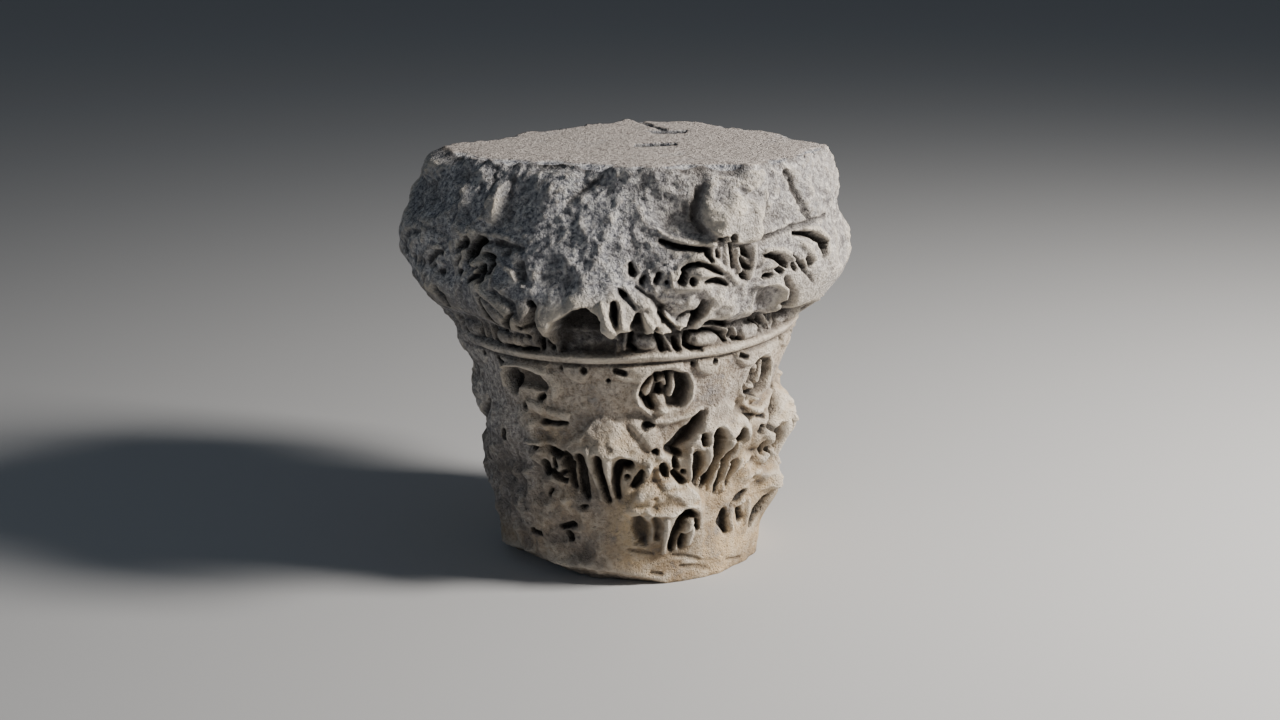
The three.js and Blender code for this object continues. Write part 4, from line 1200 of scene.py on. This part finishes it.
class Nodes:
    """A material and its nodes. Most methods add a node and give back its result."""

    def __init__(self, name):
        self.material = bpy.data.materials.new(name)
        self.material.use_nodes = True
        self.tree = self.material.node_tree
        self.shader = self.tree.nodes["Principled BSDF"]

    def put(self, node, name, value):
        """Set an input to a number or a colour, or link it to another node's result."""
        if isinstance(value, (int, float)):
            node.inputs[name].default_value = value
        elif isinstance(value, tuple):
            node.inputs[name].default_value = (*value, 1)
        else:
            self.tree.links.new(value, node.inputs[name])

    def add(self, kind, inputs):
        """A node of a kind, with its inputs set by name or by place."""
        node = self.tree.nodes.new("ShaderNode" + kind)
        for name, value in inputs.items():
            self.put(node, name, value)
        return node

    def noise(self, vector, scale, detail, rough=0.5):
        """A noise texture on given coordinates."""
        inputs = {"Vector": vector, "Scale": scale, "Detail": detail, "Roughness": rough}
        return self.add("TexNoise", inputs).outputs["Fac"]

    def span(self, value, low, high, start=0.0, end=1.0):
        """The value between low and high, carried over to start and end, and clamped."""
        inputs = {"Value": value, "From Min": low, "From Max": high, "To Min": start, "To Max": end}
        return self.add("MapRange", inputs).outputs["Result"]

    def math(self, operation, first, second):
        """A sum or product of two values, each a result or a number."""
        node = self.add("Math", {0: first, 1: second})
        node.operation = operation
        return node.outputs[0]

    def mix(self, factor, first, second):
        """Two colours mixed by a factor, each a result or a colour."""
        node = self.tree.nodes.new("ShaderNodeMix")
        node.data_type = "RGBA"
        for name, value in (("Factor", factor), (6, first), (7, second)):
            self.put(node, name, value)
        return node.outputs[2]


# Linear colours of the weathered marble
COOL_MARBLE = (0.43, 0.43, 0.455)
WARM_MARBLE = (0.68, 0.495, 0.285)
DEEP_WARM = (0.37, 0.262, 0.155)
GREY_FILM = (0.235, 0.234, 0.245)
WHITE_GRAIN = (0.76, 0.735, 0.70)
DARK_GRAIN = (0.105, 0.11, 0.13)
# dark brown: dark specks, and painted shade in hollows
OLD_DIRT_AND_SHADE = (0.16, 0.14, 0.125)
# near black: dirt and painted shadow in drilled cuts and sunk places
BLACK_SOIL_AND_SHADE = (0.018, 0.015, 0.013)
# pale: worn patches and edges, and painted highlight on standing forms
WORN_EDGE_AND_HIGHLIGHT = (0.78, 0.69, 0.565)
BED_TONE = (0.50, 0.435, 0.39)
BED_GRAIN = (0.62, 0.57, 0.52)
BED_PITS = (0.19, 0.17, 0.16)
PALE_FLOOR = (0.52, 0.515, 0.51)


def marble_material():
    """Weathered marble: cool and speckled above, warm below, dark dirt and painted shadow in the
    drilled hollows, painted shade in recesses, pale worn edges with painted highlights, and fine pits."""
    nodes = Nodes("weathered_marble")
    place = nodes.add("TexCoord", {}).outputs["Object"]
    marks = nodes.add("Attribute", {})
    marks.attribute_name = "weathering_and_shade"
    soil_and_shade, hollow, wear_and_highlight = nodes.add("SeparateColor", {"Color": marks.outputs["Color"]}).outputs
    zone = marks.outputs["Alpha"]
    broad = nodes.noise(place, 9, 4)
    medium = nodes.noise(place, 42, 5, 0.62)
    speck = nodes.noise(place, 165, 4, 0.66)
    fine = nodes.noise(place, 620, 2)
    warm = nodes.mix(nodes.span(broad, 0.38, 0.62), DEEP_WARM, WARM_MARBLE)
    warm = nodes.mix(nodes.span(medium, 0.45, 0.7, 0, 0.5), warm, WORN_EDGE_AND_HIGHLIGHT)
    warm = nodes.mix(nodes.span(medium, 0.46, 0.3, 0, 0.6), warm, GREY_FILM)
    warm = nodes.mix(nodes.span(speck, 0.44, 0.34, 0, 0.5), warm, OLD_DIRT_AND_SHADE)
    patchy = nodes.span(medium, 0.35, 0.65, 0.35)
    cool = nodes.mix(patchy, GREY_FILM, COOL_MARBLE)
    cool = nodes.mix(nodes.math("MULTIPLY", nodes.span(speck, 0.5, 0.57), patchy), cool, WHITE_GRAIN)
    cool = nodes.mix(nodes.span(speck, 0.46, 0.39, 0, 0.95), cool, DARK_GRAIN)
    bed = nodes.mix(nodes.span(speck, 0.44, 0.6, 0, 0.55), BED_TONE, BED_GRAIN)
    bed = nodes.mix(nodes.span(speck, 0.47, 0.38, 0, 0.85), bed, BED_PITS)
    up = nodes.add("SeparateXYZ", {0: place}).outputs[2]
    colour = nodes.mix(nodes.span(up, 0.5935, 0.5955), nodes.mix(zone, warm, cool), bed)
    # pale wear on edges and painted highlight on standing forms
    edge = nodes.math("MULTIPLY", wear_and_highlight, nodes.span(medium, 0.35, 0.6, 0.35, 0.8))
    colour = nodes.mix(edge, colour, WORN_EDGE_AND_HIGHLIGHT)
    # old dirt and painted shade in hollows and under the left overhang
    grime_and_shade = nodes.math("MULTIPLY", hollow, nodes.span(medium, 0.3, 0.6, 1.0, 0.6))
    colour = nodes.mix(grime_and_shade, colour, OLD_DIRT_AND_SHADE)
    # dirt and painted shadow in drilled cuts and sunk places, near black
    dark_soil_and_shade = nodes.math("MULTIPLY", soil_and_shade, nodes.span(fine, 0.3, 0.7, 1.0, 0.85))
    colour = nodes.mix(dark_soil_and_shade, colour, BLACK_SOIL_AND_SHADE)
    pits = nodes.add("TexVoronoi", {"Scale": 190, "Vector": place}).outputs["Distance"]
    crust = nodes.math("MULTIPLY", nodes.span(speck, 0.4, 0.6), nodes.span(zone, 0, 1, 0.26, 0.6))
    height = nodes.math("ADD", crust, nodes.math("MULTIPLY", fine, 0.45))
    height = nodes.math("ADD", height, nodes.span(pits, 0, 0.35, -0.5, 0))
    bump = nodes.add("Bump", {"Strength": 0.75, "Distance": 0.006, "Height": height})
    nodes.put(nodes.shader, "Base Color", colour)
    nodes.put(nodes.shader, "Roughness", nodes.span(medium, 0.3, 0.7, 0.78, 0.95))
    nodes.put(nodes.shader, "Normal", bump.outputs["Normal"])
    nodes.put(nodes.shader, "Specular IOR Level", 0.25)
    return nodes.material


# The studio

CAMERA_LENS = 50                 # mm, on a 36 mm sensor
CAMERA_BEARING = -34
CAMERA_DISTANCE = 2.537
CAMERA_SHIFT = 0.018
CAMERA_HEIGHT = 0.955
CAMERA_PITCH = 14.97
CAMERA_ROLL = -1.66
TOWARDS_CAMERA = np.array([math.sin(CAMERA_BEARING * RAD), -math.cos(CAMERA_BEARING * RAD), 0])
TO_THE_RIGHT = np.array([math.cos(CAMERA_BEARING * RAD), math.sin(CAMERA_BEARING * RAD), 0])

# Lamps in metres from the axis: name, right, front, up, size, watts, colour
LAMPS = [
    ("key", 2.6, 0.75, 1.95, 0.7, 215, (1.0, 0.965, 0.92)),
    ("fill", -2.3, 1.5, 1.1, 2.0, 5, (0.66, 0.8, 1.0)),
]
LAMP_AIM = (0, 0, 0.3)
SKY = (0.72, 0.84, 1.0)
SKY_STRENGTH = 0.085


def camera():
    """The camera, where the photograph was taken from."""
    data = bpy.data.cameras.new("photo_camera")
    data.lens = CAMERA_LENS
    data.sensor_width = 36
    item = placed("photo_camera", data)
    spot = CAMERA_DISTANCE * TOWARDS_CAMERA + CAMERA_SHIFT * TO_THE_RIGHT
    heading = Matrix.Rotation(CAMERA_BEARING * RAD, 4, "Z")
    pitch = Matrix.Rotation((90 - CAMERA_PITCH) * RAD, 4, "X")
    roll = Matrix.Rotation(CAMERA_ROLL * RAD, 4, "Z")
    item.matrix_world = Matrix.Translation((spot[0], spot[1], CAMERA_HEIGHT)) @ heading @ pitch @ roll
    bpy.context.scene.camera = item


def lamp(name, right, front, up, size, energy, colour):
    """A square soft light, aimed at the middle of the stone."""
    data = bpy.data.lights.new(name, "AREA")
    data.size = size
    data.energy = energy
    data.color = colour
    item = placed(name, data)
    spot = right * TO_THE_RIGHT + front * TOWARDS_CAMERA + np.array([0, 0, up])
    item.location = tuple(spot)
    aim = Vector(LAMP_AIM) - Vector(spot)
    item.rotation_euler = aim.to_track_quat("-Z", "Y").to_euler()


def studio():
    """A wide pale floor, a soft key light from the camera's right, a weak cool fill."""
    data = bpy.data.meshes.new("floor")
    data.from_pydata([(-20, -20, 0), (20, -20, 0), (20, 20, 0), (-20, 20, 0)], [], [(0, 1, 2, 3)])
    floor = placed("floor", data)
    nodes = Nodes("pale_floor")
    nodes.put(nodes.shader, "Base Color", PALE_FLOOR)
    nodes.put(nodes.shader, "Roughness", 0.9)
    data.materials.append(nodes.material)
    for row in LAMPS:
        lamp(*row)
    world = bpy.data.worlds.new("studio")
    bpy.context.scene.world = world
    world.use_nodes = True
    background = world.node_tree.nodes["Background"]
    background.inputs[0].default_value = (*SKY, 1)
    background.inputs[1].default_value = SKY_STRENGTH


camera()
studio()
stone = carve()
grid, masks = stone_arrays(stone)
dense_mesh = closed_mesh(
    "capital_stone", grid, [(0, 0, 0), (0, 0, HEIGHT - 1.2)], masks, [(0, 0, 0, 0), (0, 0, 0, 1)]
)
capital = thinned(dense_mesh, "capital_stone", TRIANGLES)
capital.data.materials.append(marble_material())
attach(capital, "root")
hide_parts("capital")
